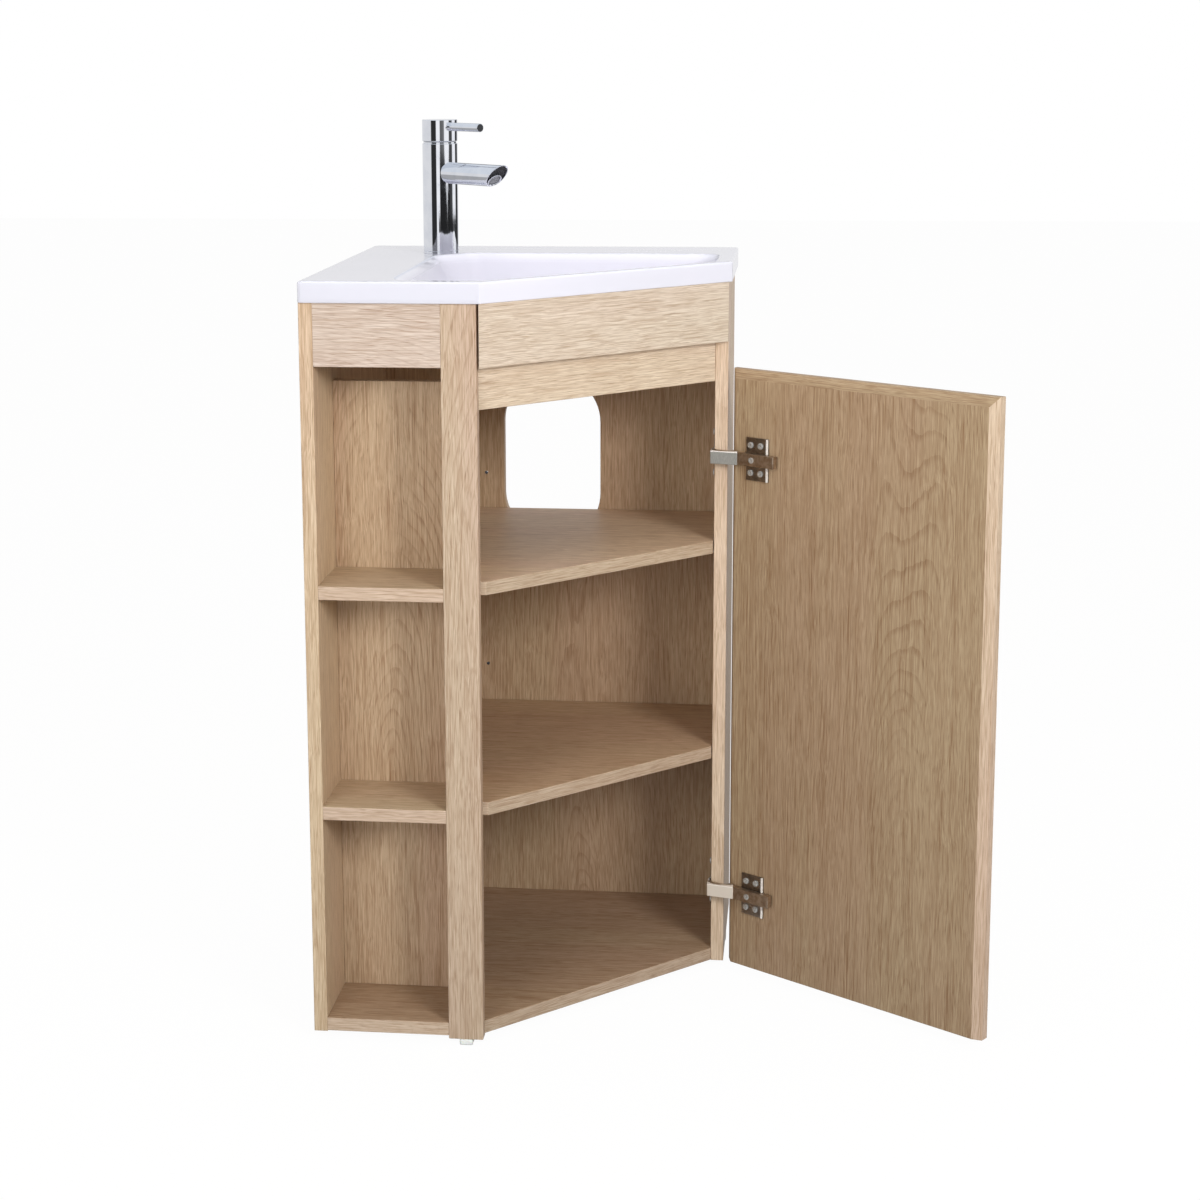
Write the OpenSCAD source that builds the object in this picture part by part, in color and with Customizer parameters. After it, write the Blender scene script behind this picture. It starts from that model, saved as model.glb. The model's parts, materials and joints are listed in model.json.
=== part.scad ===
// Corner vanity unit: five-sided oak-look cabinet with an open niche,
// one hinged door on the diagonal front, a resin corner basin and a mixer tap.
// Frame: the room corner at floor level is the origin. +X runs along the back
// wall, -Y along the left wall towards the user, +Z is up. Sizes in millimetres.

/* [Overall] */
// Length of each wall side of the cabinet
unit_side = 446; // [446:1:448]
// Depth of the right side panel from the back wall
short_side = 194; // [194:0.5:195]
// Width of the right panel's front edge outside the diagonal carcass plane
panel_land = 13.5; // [12.5:0.1:13.5]
// Thickness of the boards
board = 15; // [15:0.5:15.5]
// Height of the panels' lower edges above the floor
floor_gap = 10; // [10:0.5:11]
// Height of the top of the carcass
carcass_top = 827; // [827:1:829]
// Gap between the back panel and the wall
back_gap = 1.5; // [1:0.5:2]

/* [Left return] */
// Width of the corner post
post_w = 38.5; // [37.5:0.5:39.5]
// How far the post's front corner stands past the diagonal carcass plane
post_past = 10; // [9.5:0.1:10]
// Height of the post's lower end
post_bottom = 7.5; // [7:0.5:8]
// Height of both fascias
fascia_h = 68.4; // [67:0.2:69]
// Depth of the open niche
niche_depth = 100; // [98:1:102]
// Drop from the carcass top to the niche's back panel
niche_back_drop = 97; // [95:1:101]
// Drop from the carcass top to the upper niche shelf
niche_shelf_drop = 307.5; // [303:0.5:312]
// Top of the lower niche shelf
niche_shelf_lo = 271.3; // [268:0.5:275]

/* [Diagonal front] */
// Thickness of the diagonal fascia
fascia_t = 12; // [11.5:0.5:12]
// Gap between the post's end and the fascia
fascia_gap = 3.6; // [3:0.2:4]
// Drop from the carcass top to the recessed rail
rail_drop = 52.4; // [51:0.2:54]
// Height of the recessed rail
rail_h = 62; // [58:1:64]
// Drop from the carcass top to the upper main shelf
shelf_drop = 302; // [299:0.5:305]
// Top of the lower main shelf
shelf_lo = 277.4; // [274:0.5:280]
// Gap between each shelf and the panels beside it
shelf_gap = 1; // [0.5:0.5:1.5]
// Top of the bottom panel
bottom_top = 26; // [26:0.5:27]

/* [Door] */
// Distance of the closed door's free end behind the unit's front plane
door_end = 5.6; // [5.6:0.1:6.2]
// Thickness of the door
door_t = 15; // [14.5:0.5:15]
// Lower edge of the door
door_bottom = 11.5; // [11:0.5:12]
// Drop from the carcass top to the door's upper edge
door_drop = 99.4; // [98:0.2:101]
// Width of the grip bevel on the inner face
bevel_w = 11; // [10:0.5:12]
// Depth of the grip bevel
bevel_d = 4.6; // [4.6:0.2:5.2]
// Gap behind the closed door
door_gap = 1.2; // [1.2:0.1:1.4]
// Gap between the closed door's mitred end and the side panel
mitre_gap = 1.2; // [1.2:0.1:1.4]
// How far the door is drawn open
open_angle = 99.1; // [90:0.1:100]

/* [Hinges] */
// Distance of the turning axis behind the right panel's front edge
pivot_setback = 5.6; // [5.4:0.1:5.8]
// Upper hinge's centre below the door's upper edge
hinge_drop = 101.6; // [96:0.2:108]
// Lower hinge's centre above the door's lower edge
hinge_rise = 92; // [86:1:98]
// Diameter of the hinge cup's bore
cup_bore_d = 35; // [34:0.5:35]
// Distance of the cup's centre behind the panel's front edge
cup_setback = 23; // [22.5:0.5:23.5]
// Depth of the cup's bore
cup_depth = 12.4; // [12.2:0.1:12.6]
// Inner radius of the curved links about the axis
link_r_in = 16.6; // [16.5:0.1:16.7]
// Outer radius of the curved arm about the axis
link_r_out = 21; // [20.8:0.1:21.2]
// Height of the curved arm
arm_h = 16.2; // [15.8:0.2:16.6]

/* [Basin] */
// How far the basin's wall sides are longer than the cabinet's
basin_over = 4; // [3:0.5:5]
// How far the basin's short ends are longer than the right side panel
basin_end_over = 0.5; // [0:0.5:2]
// Height of the basin's rim
rim_h = 23; // [22:0.5:24]
// Distance of the bowl from both wall sides
bowl_wall_side = 99; // [98:1:102]
// Width of the rim at the bowl's far ends
bowl_end_rim = 20; // [18:1:24]
// Width of the rim along the diagonal front
bowl_front_rim = 14; // [13:0.5:16]
// Depth of the bowl
bowl_depth = 78; // [76:1:80]
// Inset of the bowl's floor from its mouth
bowl_taper = 46; // [44:1:50]
// Thickness of the bowl's wall
bowl_wall = 8; // [7:0.5:8]

/* [Tap] */
// Distance of the tap from both walls
tap_at = 99.5; // [99:0.5:100]
// Diameter of the tap's body
tap_d = 42; // [41:0.5:42.5]
// Height of the tap's head
head_h = 26.5; // [25:0.5:28]
// Height of the whole tap above the basin
tap_h = 157.5; // [156:0.5:159]
// Diameter of the spout
spout_d = 25.5; // [25:0.5:26]
// Reach of the spout's upper lip from the tap's axis
spout_reach = 121; // [119:1:122]
// Drop from the top of the tap to the spout's axis
spout_drop = 62; // [61:0.5:64]
// Diameter of the lever
lever_d = 10; // [9:0.5:10.5]
// Reach of the lever from the tap's axis
lever_reach = 79.5; // [78:0.5:81]
// Drop from the top of the tap to the lever's axis
lever_drop = 7.9; // [7.5:0.1:9]

/* [Waste] */
// Distance of the waste from both walls
waste_at = 225; // [222:1:228]
// Diameter of the waste hole in the bowl
waste_hole_d = 45; // [44:0.5:46]
// Diameter of the waste's outlet tail
waste_tail_d = 32; // [31:0.5:32]
// Length of the outlet tail below the waste's body
waste_tail_len = 32; // [28:1:32]

/* [Hidden] */
// Smoothness of round parts
$fn = 96;
hull_fn = 32;
// Overlap used only when cutting
eps = 0.5;
// Root of two, for lengths across the diagonal
rt = sqrt(2);
// x minus y on the diagonal carcass plane
diag_sum = unit_side + short_side - panel_land;
// Direction along the diagonal front away from the hinges
diag_dir = 225;
// Inner faces of the side panels and of the back panel
in_left = board;
in_right = unit_side - board;
in_back = -back_gap - board;
// Front planes of the left return
front_y = -unit_side;
post_back_y = front_y + board;
// The post's sides, from the diagonal, and the fascia's end facing it
post_right = diag_sum + post_past - unit_side;
post_left = post_right - post_w;
fascia_left = post_right + fascia_gap;
// Levels measured down from the carcass top
fascia_bottom = carcass_top - fascia_h;
rail_bottom = carcass_top - rail_drop - rail_h;
shelf_hi = carcass_top - shelf_drop;
niche_back_top = carcass_top - niche_back_drop;
niche_shelf_hi = carcass_top - niche_shelf_drop;
door_top = carcass_top - door_drop;
// Niche's back panel
niche_y = front_y + niche_depth;
divider_right = post_left + board;
// Radial clearance of screws and pins in their holes
fit = 0.05;
// Diameter, length and sunk length of the shelf pins
pin_d = 5;
pin_len = 16;
pin_bury = 8;
// Turning axis and centre heights of the hinges
pivot_x = unit_side;
pivot_y = -short_side + pivot_setback;
hinge_z_hi = door_top - hinge_drop;
hinge_z_lo = door_bottom + hinge_rise;
// Cup, flange and arm details of the hinges
cup_y = -short_side + cup_setback;
cup_wall = 1;
flange_t = 1;
flange_r = 19.3;
ear_half = 30;
ear_w = 16;
cup_screw_z = 24;
// Door's inner hinge corner when closed
corner_y = -short_side - mitre_gap;
corner_x = corner_y + diag_sum + door_gap * rt;
// Width of the door's inner face plus its bevel
door_w = (corner_y - front_y - door_end) * rt;
// The same corner measured from the turning axis along and across the door
corner_s = -((corner_x - pivot_x) + (corner_y - pivot_y)) / rt;
corner_t = ((corner_x - pivot_x) - (corner_y - pivot_y)) / rt;
// Hinge plate on the door
plate_t = 2;
plate_setback = 17.5;
plate_w = 31.5;
plate_s0 = corner_s + plate_setback;
plate_s1 = plate_s0 + plate_w;
plate_half = 25;
boss_half = 6.2;
boss_t = 0.7;
boss_lip = 2;
arm_tail = 62;
arm_s1 = corner_s + arm_tail;
arm_s0 = 15.6;
arm_t0 = corner_t - plate_t - boss_t;
arm_body_t = 7.6;
arm_body_h = 14;
arm_angle_a = -120;
arm_angle_b = -22;
link_angle_a = -120.5;
link_angle_b = -54.5;
arm_skin = 1.4;
arm_past = 1;
arm_end_room = 6;
link_clear = 0.3;
plate_screw_s = [24, 38];
plate_screw_z = 16;
screw_d = 3.6;
screw_head_d = 7.4;
screw_head_h = 1.6;
screw_len = 11;
clamp_setback = 31;
clamp_s = corner_s + clamp_setback;
clamp_d = 4;
clamp_head_d = 7;
clamp_head_h = 1.2;
cup_screw_d = 3.5;
cup_screw_len = 11;
// Back panel's cut-out and wall holes
cut_x = 222.5;
cut_r = 60;
cut_above_shelf = 20;
cut_straight = 89;
cut_lo = shelf_hi + cut_above_shelf;
cut_hi = cut_lo + cut_straight;
wall_hole_d = 4;
wall_hole_x = 140;
wall_hole_rise = [46.1, 44];
wall_hole_z = [shelf_lo + wall_hole_rise[0], shelf_hi + wall_hole_rise[1]];
// Floor glides
glide_w = 15;
glide_pin_d = 3;
glide_pin_len = 12;
// Carcass screws
carcass_screw_d = 5;
carcass_screw_len = 40;
carcass_head_d = 9;
carcass_head_h = 2;
// Basin levels
basin_side = unit_side + basin_over;
basin_end = short_side + basin_end_over;
basin_top = carcass_top + rim_h;
bowl_floor = basin_top - bowl_depth;
bowl_r_top = 22;
bowl_r_low = 44;
bowl_far = basin_side - bowl_end_rim;
bowl_diag = basin_side + basin_end - bowl_front_rim * rt;
bowl_tap_corner = 38;
bowl_near = 2 * bowl_wall_side + bowl_tap_corner;
// Tap heights above the basin, and its details
tap_seam = tap_h - head_h;
spout_z = tap_h - spout_drop;
lever_z = tap_h - lever_drop;
tap_base_h = 3;
tap_seam_gap = 1.6;
tap_neck_r = 17;
tap_wall = 3;
cart_r = 16;
cart_top = 2.5;
spindle_w = 10;
spindle_h = 12;
head_room = 2;
lever_step = 1;
shank_r = 14;
shank_len = 62;
shank_bore_r = 10;
tap_hole_r = 17.5;
gasket_t = 1.5;
washer_t = 2.5;
washer_r = 27;
nut_h = 10;
nut_w = 38;
nut_sides = 6;
inlet_r = 4.5;
inlet_gap = 5;
inlet_len = 24;
spout_cut = 45;
spout_bore_r = 9;
aerator_d = 17;
aerator_h = 4;
// Waste details
flange_r_waste = 31.5;
flange_h_waste = 3;
waste_body_r = 20.5;
waste_body_len = 40;
waste_bore_r = 15;
plug_r = 19;
plug_h = 5;
plug_seat = 1;
plug_rest = 0.3;
plug_stem_r = 4;
plug_stem_len = 34;
guide_z = 22;
guide_h = 3;
guide_web = 3;
guide_step = 60;
seal_t = 3;
waste_nut_h = 9;
waste_nut_r = 29;
waste_nut_sides = 8;

// Point on the plane t outside the diagonal carcass plane, at a given x or y
function at_x(x, t) = [x, x - diag_sum - t * rt];
function at_y(y, t) = [y + diag_sum + t * rt, y];

// A flat board with its lower face at z
module slab(z, h, pts) {
  translate([0, 0, z]) linear_extrude(h) polygon(pts);
}

// A box from one corner to the opposite one
module block(a, b) {
  translate(a) cube(b - a);
}

// A round bar along +X, from the given point
module bar_x(p, r, len) {
  translate(p) rotate([0, 90, 0]) cylinder(r = r, h = len);
}

// A round bar along +Y, from the given point
module bar_y(p, r, len) {
  translate(p) rotate([-90, 0, 0]) cylinder(r = r, h = len);
}

// Frame of the closed door turned to its drawn angle: x along, y outward
module door_frame(share = 1) {
  translate([pivot_x, pivot_y, 0])
    rotate(open_angle * share + diag_dir) children();
}

// ---- carcass screws: outer side panels into the bottom and niche boards ----
screw_rows = [bottom_top - board / 2, niche_shelf_lo - board / 2, niche_shelf_hi - board / 2];
rear_screw_y = -60;
left_screw_setback = 56;
right_screw_setback = 44;
left_screw_y = [front_y + left_screw_setback, rear_screw_y];
right_screw_y = [-short_side + right_screw_setback, rear_screw_y];

module carcass_screw(d, head_d) {
  cylinder(r = d / 2, h = carcass_screw_len);
  cylinder(r = head_d / 2, h = carcass_head_h);
}

// Places one child at each screw, pointing inward from the panel's outer face
module at_left_screws() {
  for (y = left_screw_y) translate([0, y, screw_rows[0]]) rotate([0, 90, 0]) children();
  for (z = [screw_rows[1], screw_rows[2]])
    translate([0, left_screw_y[0], z]) rotate([0, 90, 0]) children();
}

module at_right_screws() {
  for (y = right_screw_y)
    translate([unit_side, y, screw_rows[0]]) rotate([0, -90, 0]) children();
}

module screw_holes() {
  at_left_screws() carcass_screw(carcass_screw_d + 2 * fit, carcass_head_d + 2 * fit);
  at_right_screws() carcass_screw(carcass_screw_d + 2 * fit, carcass_head_d + 2 * fit);
}

module carcass_screws() {
  color("silver") {
    at_left_screws() carcass_screw(carcass_screw_d, carcass_head_d);
    at_right_screws() carcass_screw(carcass_screw_d, carcass_head_d);
  }
}

// ---- shelf pins: four under each main shelf ----
right_pin_setback = 29;
right_pin_rear = 50;
back_pin_left = 60;
back_pin_inset = 116;
right_pin_y = [-short_side + right_pin_setback, -right_pin_rear];
back_pin_x = [back_pin_left, unit_side - back_pin_inset];

module shelf_pin_set(z, r, extra = 0) {
  for (y = right_pin_y)
    bar_x([in_right + pin_bury - pin_len, y, z - pin_d / 2], r, pin_len + extra);
  for (x = back_pin_x)
    bar_y([x, in_back - pin_len + pin_bury, z - pin_d / 2], r, pin_len + extra);
}

module pins(r, extra = 0) {
  shelf_pin_set(shelf_hi - board, r, extra);
  shelf_pin_set(shelf_lo - board, r, extra);
}

module shelf_pins() {
  color("lightgray") pins(pin_d / 2);
}

// ---- floor glides ----
glide_right_y = -100;
glide_setback = 126;
glide_front_y = front_y + glide_setback;
// The first one is square in the room corner, and its outer corner is the origin
glide_spots = [[glide_w / 2, -glide_w / 2, floor_gap],
               [(post_left + post_right) / 2, front_y + glide_w / 2, post_bottom],
               [unit_side - glide_w / 2, glide_right_y, floor_gap],
               [glide_w / 2, glide_front_y, floor_gap]];

module floor_glides() {
  color("whitesmoke")
    for (g = glide_spots) translate([g[0], g[1], 0]) {
      translate([-glide_w / 2, -glide_w / 2, 0]) cube([glide_w, glide_w, g[2]]);
      cylinder(r = glide_pin_d / 2, h = g[2] + glide_pin_len);
    }
}

module glide_holes() {
  for (g = glide_spots)
    translate([g[0], g[1], g[2] - eps])
      cylinder(r = glide_pin_d / 2 + fit, h = glide_pin_len + 2 * eps);
}

// ---- carcass boards ----
module left_side_panel() {
  color("burlywood") difference() {
    block([0, front_y, floor_gap], [in_left, 0, carcass_top]);
    screw_holes();
    glide_holes();
  }
}

module cup_bore(z) {
  bar_x([in_right - eps, cup_y, z], cup_bore_d / 2, cup_depth + eps);
  for (s = [-1, 1])
    bar_x([in_right - eps, cup_y, z + s * cup_screw_z], cup_screw_d / 2 + fit, cup_screw_len + eps);
}

module right_side_panel() {
  color("burlywood") difference() {
    block([in_right, -short_side, floor_gap], [unit_side, 0, carcass_top]);
    cup_bore(hinge_z_hi);
    cup_bore(hinge_z_lo);
    pins(pin_d / 2 + fit, fit);
    screw_holes();
    glide_holes();
  }
}

module back_panel() {
  color("burlywood") difference() {
    block([in_left, in_back, floor_gap], [in_right, -back_gap, carcass_top]);
    for (z = [cut_lo, cut_hi]) bar_y([cut_x, in_back - eps, z], cut_r, board + 2 * eps);
    block([cut_x - cut_r, in_back - eps, cut_lo], [cut_x + cut_r, eps - back_gap, cut_hi]);
    for (z = wall_hole_z)
      bar_y([wall_hole_x, in_back - eps, z], wall_hole_d / 2, board + 2 * eps);
    pins(pin_d / 2 + fit, fit);
  }
}

module bottom_panel() {
  color("burlywood") difference() {
    slab(bottom_top - board, board,
         [[in_left, in_back], [in_right, in_back], at_x(in_right, 0), at_x(post_right, 0),
          [post_right, post_back_y], [post_left, post_back_y], [post_left, front_y],
          [in_left, front_y]]);
    screw_holes();
  }
}

module corner_post() {
  color("burlywood") difference() {
    block([post_left, front_y, post_bottom], [post_right, post_back_y, carcass_top]);
    glide_holes();
  }
}

// The divider closes the niche's right side behind the post
module niche_divider() {
  color("burlywood")
    block([post_left, post_back_y, bottom_top], [divider_right, niche_y + board, niche_back_top]);
}

module niche_back_panel() {
  color("burlywood")
    block([in_left, niche_y, bottom_top], [post_left, niche_y + board, niche_back_top]);
}

module niche_shelf(top) {
  color("burlywood") difference() {
    block([in_left, front_y, top - board], [post_left, niche_y, top]);
    screw_holes();
  }
}

module niche_shelf_upper() {
  niche_shelf(niche_shelf_hi);
}

module niche_shelf_lower() {
  niche_shelf(niche_shelf_lo);
}

module niche_fascia() {
  color("burlywood")
    block([in_left, front_y, fascia_bottom], [post_left, post_back_y, carcass_top]);
}

// Its right end is mitred to sit on the side panel's square front edge
module front_fascia() {
  color("burlywood")
    slab(fascia_bottom, carcass_top - fascia_bottom,
         [at_y(-short_side, 0), [unit_side, -short_side], at_x(unit_side, fascia_t),
          at_x(fascia_left, fascia_t), at_x(fascia_left, 0)]);
}

module door_rail() {
  color("burlywood")
    slab(rail_bottom, rail_h,
         [at_x(in_right, 0), at_x(post_right, 0), [post_right, post_back_y],
          at_y(post_back_y, -board), at_x(in_right, -board)]);
}

// Each main shelf runs behind the niche to the left side panel
module main_shelf(top) {
  right = in_right - shelf_gap;
  left = in_left + shelf_gap;
  back = in_back - shelf_gap;
  inner_y = niche_y + board + shelf_gap;
  inner_x = divider_right + shelf_gap;
  low_y = post_back_y + shelf_gap;
  color("burlywood")
    slab(top - board, board,
         [[left, back], [right, back], at_x(right, 0), at_y(low_y, 0),
          [inner_x, low_y], [inner_x, inner_y], [left, inner_y]]);
}

module main_shelf_upper() {
  main_shelf(shelf_hi);
}

module main_shelf_lower() {
  main_shelf(shelf_lo);
}

// ---- basin ----
// Corners of the bowl, moved in from its mouth by d, each rounded by r
module bowl_corners(d, r, z, h) {
  a = bowl_wall_side + d + r;
  f = bowl_far - d - r;
  k = bowl_diag - (d + r) * rt;
  n = bowl_near + (d + r) * rt;
  for (p = [[n - a, -a], [f, -a], [f, f - k], [k - f, -f], [a, -f], [a, a - n]])
    translate([p[0], p[1], z]) cylinder(r = r, h = h, $fn = hull_fn);
}

// Solid between the bowl's mouth and its floor, grown outward by g
module bowl_solid(g, z_top, z_low) {
  hull() {
    bowl_corners(-g, bowl_r_top, z_top - eps, eps);
    bowl_corners(bowl_taper - g, bowl_r_low, z_low, eps);
  }
}

module basin() {
  color("white") difference() {
    union() {
      slab(carcass_top, rim_h,
           [[0, 0], [basin_side, 0], [basin_side, -basin_end],
            [basin_end, -basin_side], [0, -basin_side]]);
      intersection() {
        bowl_solid(bowl_wall, basin_top, bowl_floor - bowl_wall);
        block([0, -basin_side, 0], [basin_side, 0, basin_top]);
      }
    }
    bowl_solid(0, basin_top + eps, bowl_floor);
    translate([tap_at, -tap_at, carcass_top - eps])
      cylinder(r = tap_hole_r, h = rim_h + 2 * eps);
    translate([waste_at, -waste_at, bowl_floor - bowl_wall - eps])
      cylinder(r = waste_hole_d / 2, h = bowl_wall + 2 * eps);
  }
}

// ---- waste ----
module at_waste() {
  translate([waste_at, -waste_at, bowl_floor]) children();
}

// Flange and threaded body in one casting, with a web that guides the plug
module waste_flange() {
  low = waste_body_len + waste_tail_len;
  color("silver") at_waste() difference() {
    union() {
      cylinder(r = flange_r_waste, h = flange_h_waste);
      translate([0, 0, -waste_body_len]) cylinder(r = waste_body_r, h = waste_body_len + eps);
      translate([0, 0, -low]) cylinder(r = waste_tail_d / 2, h = low);
    }
    translate([0, 0, flange_h_waste - plug_rest - plug_h])
      cylinder(r = plug_r + plug_seat, h = plug_h + plug_rest + eps);
    translate([0, 0, -guide_z])
      cylinder(r = waste_bore_r, h = guide_z + eps);
    translate([0, 0, -low - eps])
      cylinder(r = waste_bore_r - guide_web, h = low - guide_z - guide_h + eps);
    translate([0, 0, -guide_z - guide_h - eps])
      cylinder(r = plug_stem_r + fit, h = guide_h + 2 * eps);
    for (a = [0:guide_step:360 - guide_step]) rotate(a)
      translate([(waste_bore_r - guide_web + plug_stem_r) / 2 + fit, 0, -guide_z - guide_h - eps])
        cylinder(r = guide_web - fit, h = guide_h + 2 * eps);
  }
}

module waste_plug() {
  color("silver") at_waste() {
    translate([0, 0, flange_h_waste - plug_h]) cylinder(r = plug_r, h = plug_h);
    translate([0, 0, flange_h_waste - plug_h - plug_stem_len])
      cylinder(r = plug_stem_r, h = plug_stem_len + eps);
  }
}

module waste_seal() {
  color("dimgray") at_waste() translate([0, 0, -bowl_wall - seal_t]) difference() {
    cylinder(r = waste_nut_r, h = seal_t);
    translate([0, 0, -eps]) cylinder(r = waste_body_r + fit, h = seal_t + 2 * eps);
  }
}

module waste_nut() {
  color("silver") at_waste() translate([0, 0, -bowl_wall - seal_t - waste_nut_h]) difference() {
    cylinder(r = waste_nut_r, h = waste_nut_h, $fn = waste_nut_sides);
    translate([0, 0, -eps]) cylinder(r = waste_body_r + fit, h = waste_nut_h + 2 * eps);
  }
}

// ---- tap ----
// Frame at the tap's foot, with +X along the spout
module at_tap() {
  translate([tap_at, -tap_at, basin_top]) rotate(-45) children();
}

module tap_gasket() {
  color("dimgray") at_tap() translate([0, 0, -gasket_t]) difference() {
    cylinder(r = tap_hole_r - fit, h = gasket_t);
    translate([0, 0, -eps]) cylinder(r = shank_r + fit, h = gasket_t + 2 * eps);
  }
}

module tap_base_ring() {
  color("silver") at_tap() difference() {
    cylinder(r = tap_d / 2, h = tap_base_h);
    translate([0, 0, -eps]) cylinder(r = shank_r + fit, h = tap_base_h + 2 * eps);
  }
}

// Hollow body on a threaded shank, open at the top for the cartridge
module tap_body() {
  color("silver") at_tap() difference() {
    union() {
      translate([0, 0, tap_base_h])
        cylinder(r = tap_d / 2, h = tap_seam - tap_base_h - tap_seam_gap / 2);
      translate([0, 0, -shank_len])
        cylinder(r = shank_r, h = shank_len + tap_base_h + eps);
    }
    translate([0, 0, -shank_len - eps])
      cylinder(r = shank_bore_r, h = shank_len + spout_z - spout_d + 2 * eps);
    translate([0, 0, spout_z - spout_d]) cylinder(r = cart_r + fit, h = tap_seam);
    translate([0, 0, spout_z]) rotate([0, 90, 0]) cylinder(r = spout_bore_r, h = tap_d);
    translate([tap_d / 2 - tap_wall, 0, spout_z]) rotate([0, 90, 0])
      cylinder(r = spout_d / 2 + fit, h = tap_d);
  }
}

// The spout's end is cut on the slant, facing down and forward
module tap_spout() {
  tip = spout_reach - spout_d;
  start = tap_d / 2 - tap_wall;
  cutter = 3 * spout_d;
  color("silver") at_tap() difference() {
    translate([start, 0, spout_z]) rotate([0, 90, 0])
      cylinder(r = spout_d / 2, h = spout_reach - start);
    translate([start - eps, 0, spout_z]) rotate([0, 90, 0])
      cylinder(r = spout_bore_r, h = tip - start);
    translate([tip, 0, spout_z - spout_d / 2]) rotate([0, spout_cut, 0])
      block([0, -spout_d, -spout_d], [cutter, spout_d, cutter]);
    translate([(tip + spout_reach) / 2, 0, spout_z]) rotate([0, 90 + spout_cut, 0])
      translate([0, 0, -aerator_h]) cylinder(r = aerator_d / 2 + fit, h = spout_d);
  }
}

module tap_aerator() {
  tip = spout_reach - spout_d;
  color("gray") at_tap() translate([(tip + spout_reach) / 2, 0, spout_z])
    rotate([0, 90 + spout_cut, 0]) translate([0, 0, -aerator_h])
      cylinder(r = aerator_d / 2, h = aerator_h - eps);
}

module tap_cartridge() {
  low = spout_z + spout_d / 2;
  color("gray") at_tap() difference() {
    translate([0, 0, low]) cylinder(r = cart_r, h = tap_seam - low + cart_top);
    translate([0, 0, tap_seam]) cylinder(r = spindle_w / 2 + 2 * fit, h = 2 * cart_top);
  }
}

// The spindle turns with the head and carries its tilting pivot
module tap_spindle() {
  color("goldenrod") at_tap() translate([0, 0, tap_seam + fit])
    cylinder(r = spindle_w / 2, h = spindle_h);
}

// Hollow head: turns for temperature and lifts at the front for flow
module tap_head() {
  low = tap_seam + tap_seam_gap / 2;
  color("silver") at_tap() difference() {
    translate([0, 0, low]) cylinder(r = tap_d / 2, h = tap_h - low);
    translate([0, 0, low - eps]) cylinder(r = tap_neck_r, h = spindle_h + tap_seam_gap + head_room);
    translate([tap_neck_r - lever_step, 0, lever_z]) rotate([0, 90, 0])
      cylinder(r = lever_d / 2 - lever_step + fit, h = tap_d);
  }
}

module tap_lever() {
  color("silver") at_tap() translate([0, 0, lever_z]) rotate([0, 90, 0]) {
    translate([0, 0, tap_neck_r])
      cylinder(r = lever_d / 2 - lever_step, h = tap_d / 2 - tap_neck_r + eps);
    translate([0, 0, tap_d / 2]) cylinder(r = lever_d / 2, h = lever_reach - tap_d / 2);
  }
}

module tap_washer() {
  color("dimgray") at_tap() translate([0, 0, -rim_h - washer_t]) difference() {
    cylinder(r = washer_r, h = washer_t);
    translate([0, 0, -eps]) cylinder(r = shank_r + fit, h = washer_t + 2 * eps);
  }
}

module tap_nut() {
  color("goldenrod") at_tap() translate([0, 0, -rim_h - washer_t - nut_h]) difference() {
    cylinder(r = nut_w / 2, h = nut_h, $fn = nut_sides);
    translate([0, 0, -eps]) cylinder(r = shank_r + fit, h = nut_h + 2 * eps);
  }
}

// Two inlet tails hang inside the shank; the supply hoses are left out
module tap_inlets() {
  color("goldenrod") at_tap()
    for (s = [-1, 1]) translate([0, s * inlet_gap, -shank_len - inlet_len / 2])
      cylinder(r = inlet_r, h = inlet_len + shank_len / 2);
}

// ---- hinges ----
module hinge_cup(z) {
  color("silver") difference() {
    union() {
      bar_x([in_right, cup_y, z], cup_bore_d / 2 - fit, cup_depth - fit);
      bar_x([in_right - flange_t, cup_y, z], flange_r, flange_t);
      block([in_right - flange_t, cup_y - ear_w / 2, z - ear_half],
            [in_right, cup_y + ear_w / 2, z + ear_half]);
    }
    bar_x([in_right - flange_t - eps, cup_y, z], cup_bore_d / 2 - fit - cup_wall,
          cup_depth - cup_wall + flange_t + eps);
    for (s = [-1, 1])
      bar_x([in_right - flange_t - eps, cup_y, z + s * cup_screw_z], cup_screw_d / 2 + fit,
            flange_t + 2 * eps);
  }
}

module upper_hinge_cup() {
  hinge_cup(hinge_z_hi);
}

module lower_hinge_cup() {
  hinge_cup(hinge_z_lo);
}

module hinge_cup_screws() {
  color("gray")
    for (z = [hinge_z_hi, hinge_z_lo]) for (s = [-1, 1]) {
      bar_x([in_right - flange_t - screw_head_h, cup_y, z + s * cup_screw_z],
            screw_head_d / 2, screw_head_h);
      bar_x([in_right - flange_t - eps, cup_y, z + s * cup_screw_z], cup_screw_d / 2,
            cup_screw_len);
    }
}

// A curved bar about the turning axis, between two radii and two angles
module curved_bar(r0, r1, h, a0, a1) {
  rotate(a0) rotate_extrude(angle = a1 - a0)
    translate([r0, -h / 2]) square([r1 - r0, h]);
}

// The link follows the arm at half its angle
module hinge_link(z) {
  color("silver") door_frame(1 / 2) translate([0, 0, z])
    curved_bar(link_r_in + link_clear, link_r_out - arm_skin - link_clear,
               arm_h - 2 * (arm_skin + link_clear), link_angle_a, link_angle_b);
}

module upper_hinge_link() {
  hinge_link(hinge_z_hi);
}

module lower_hinge_link() {
  hinge_link(hinge_z_lo);
}

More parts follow.
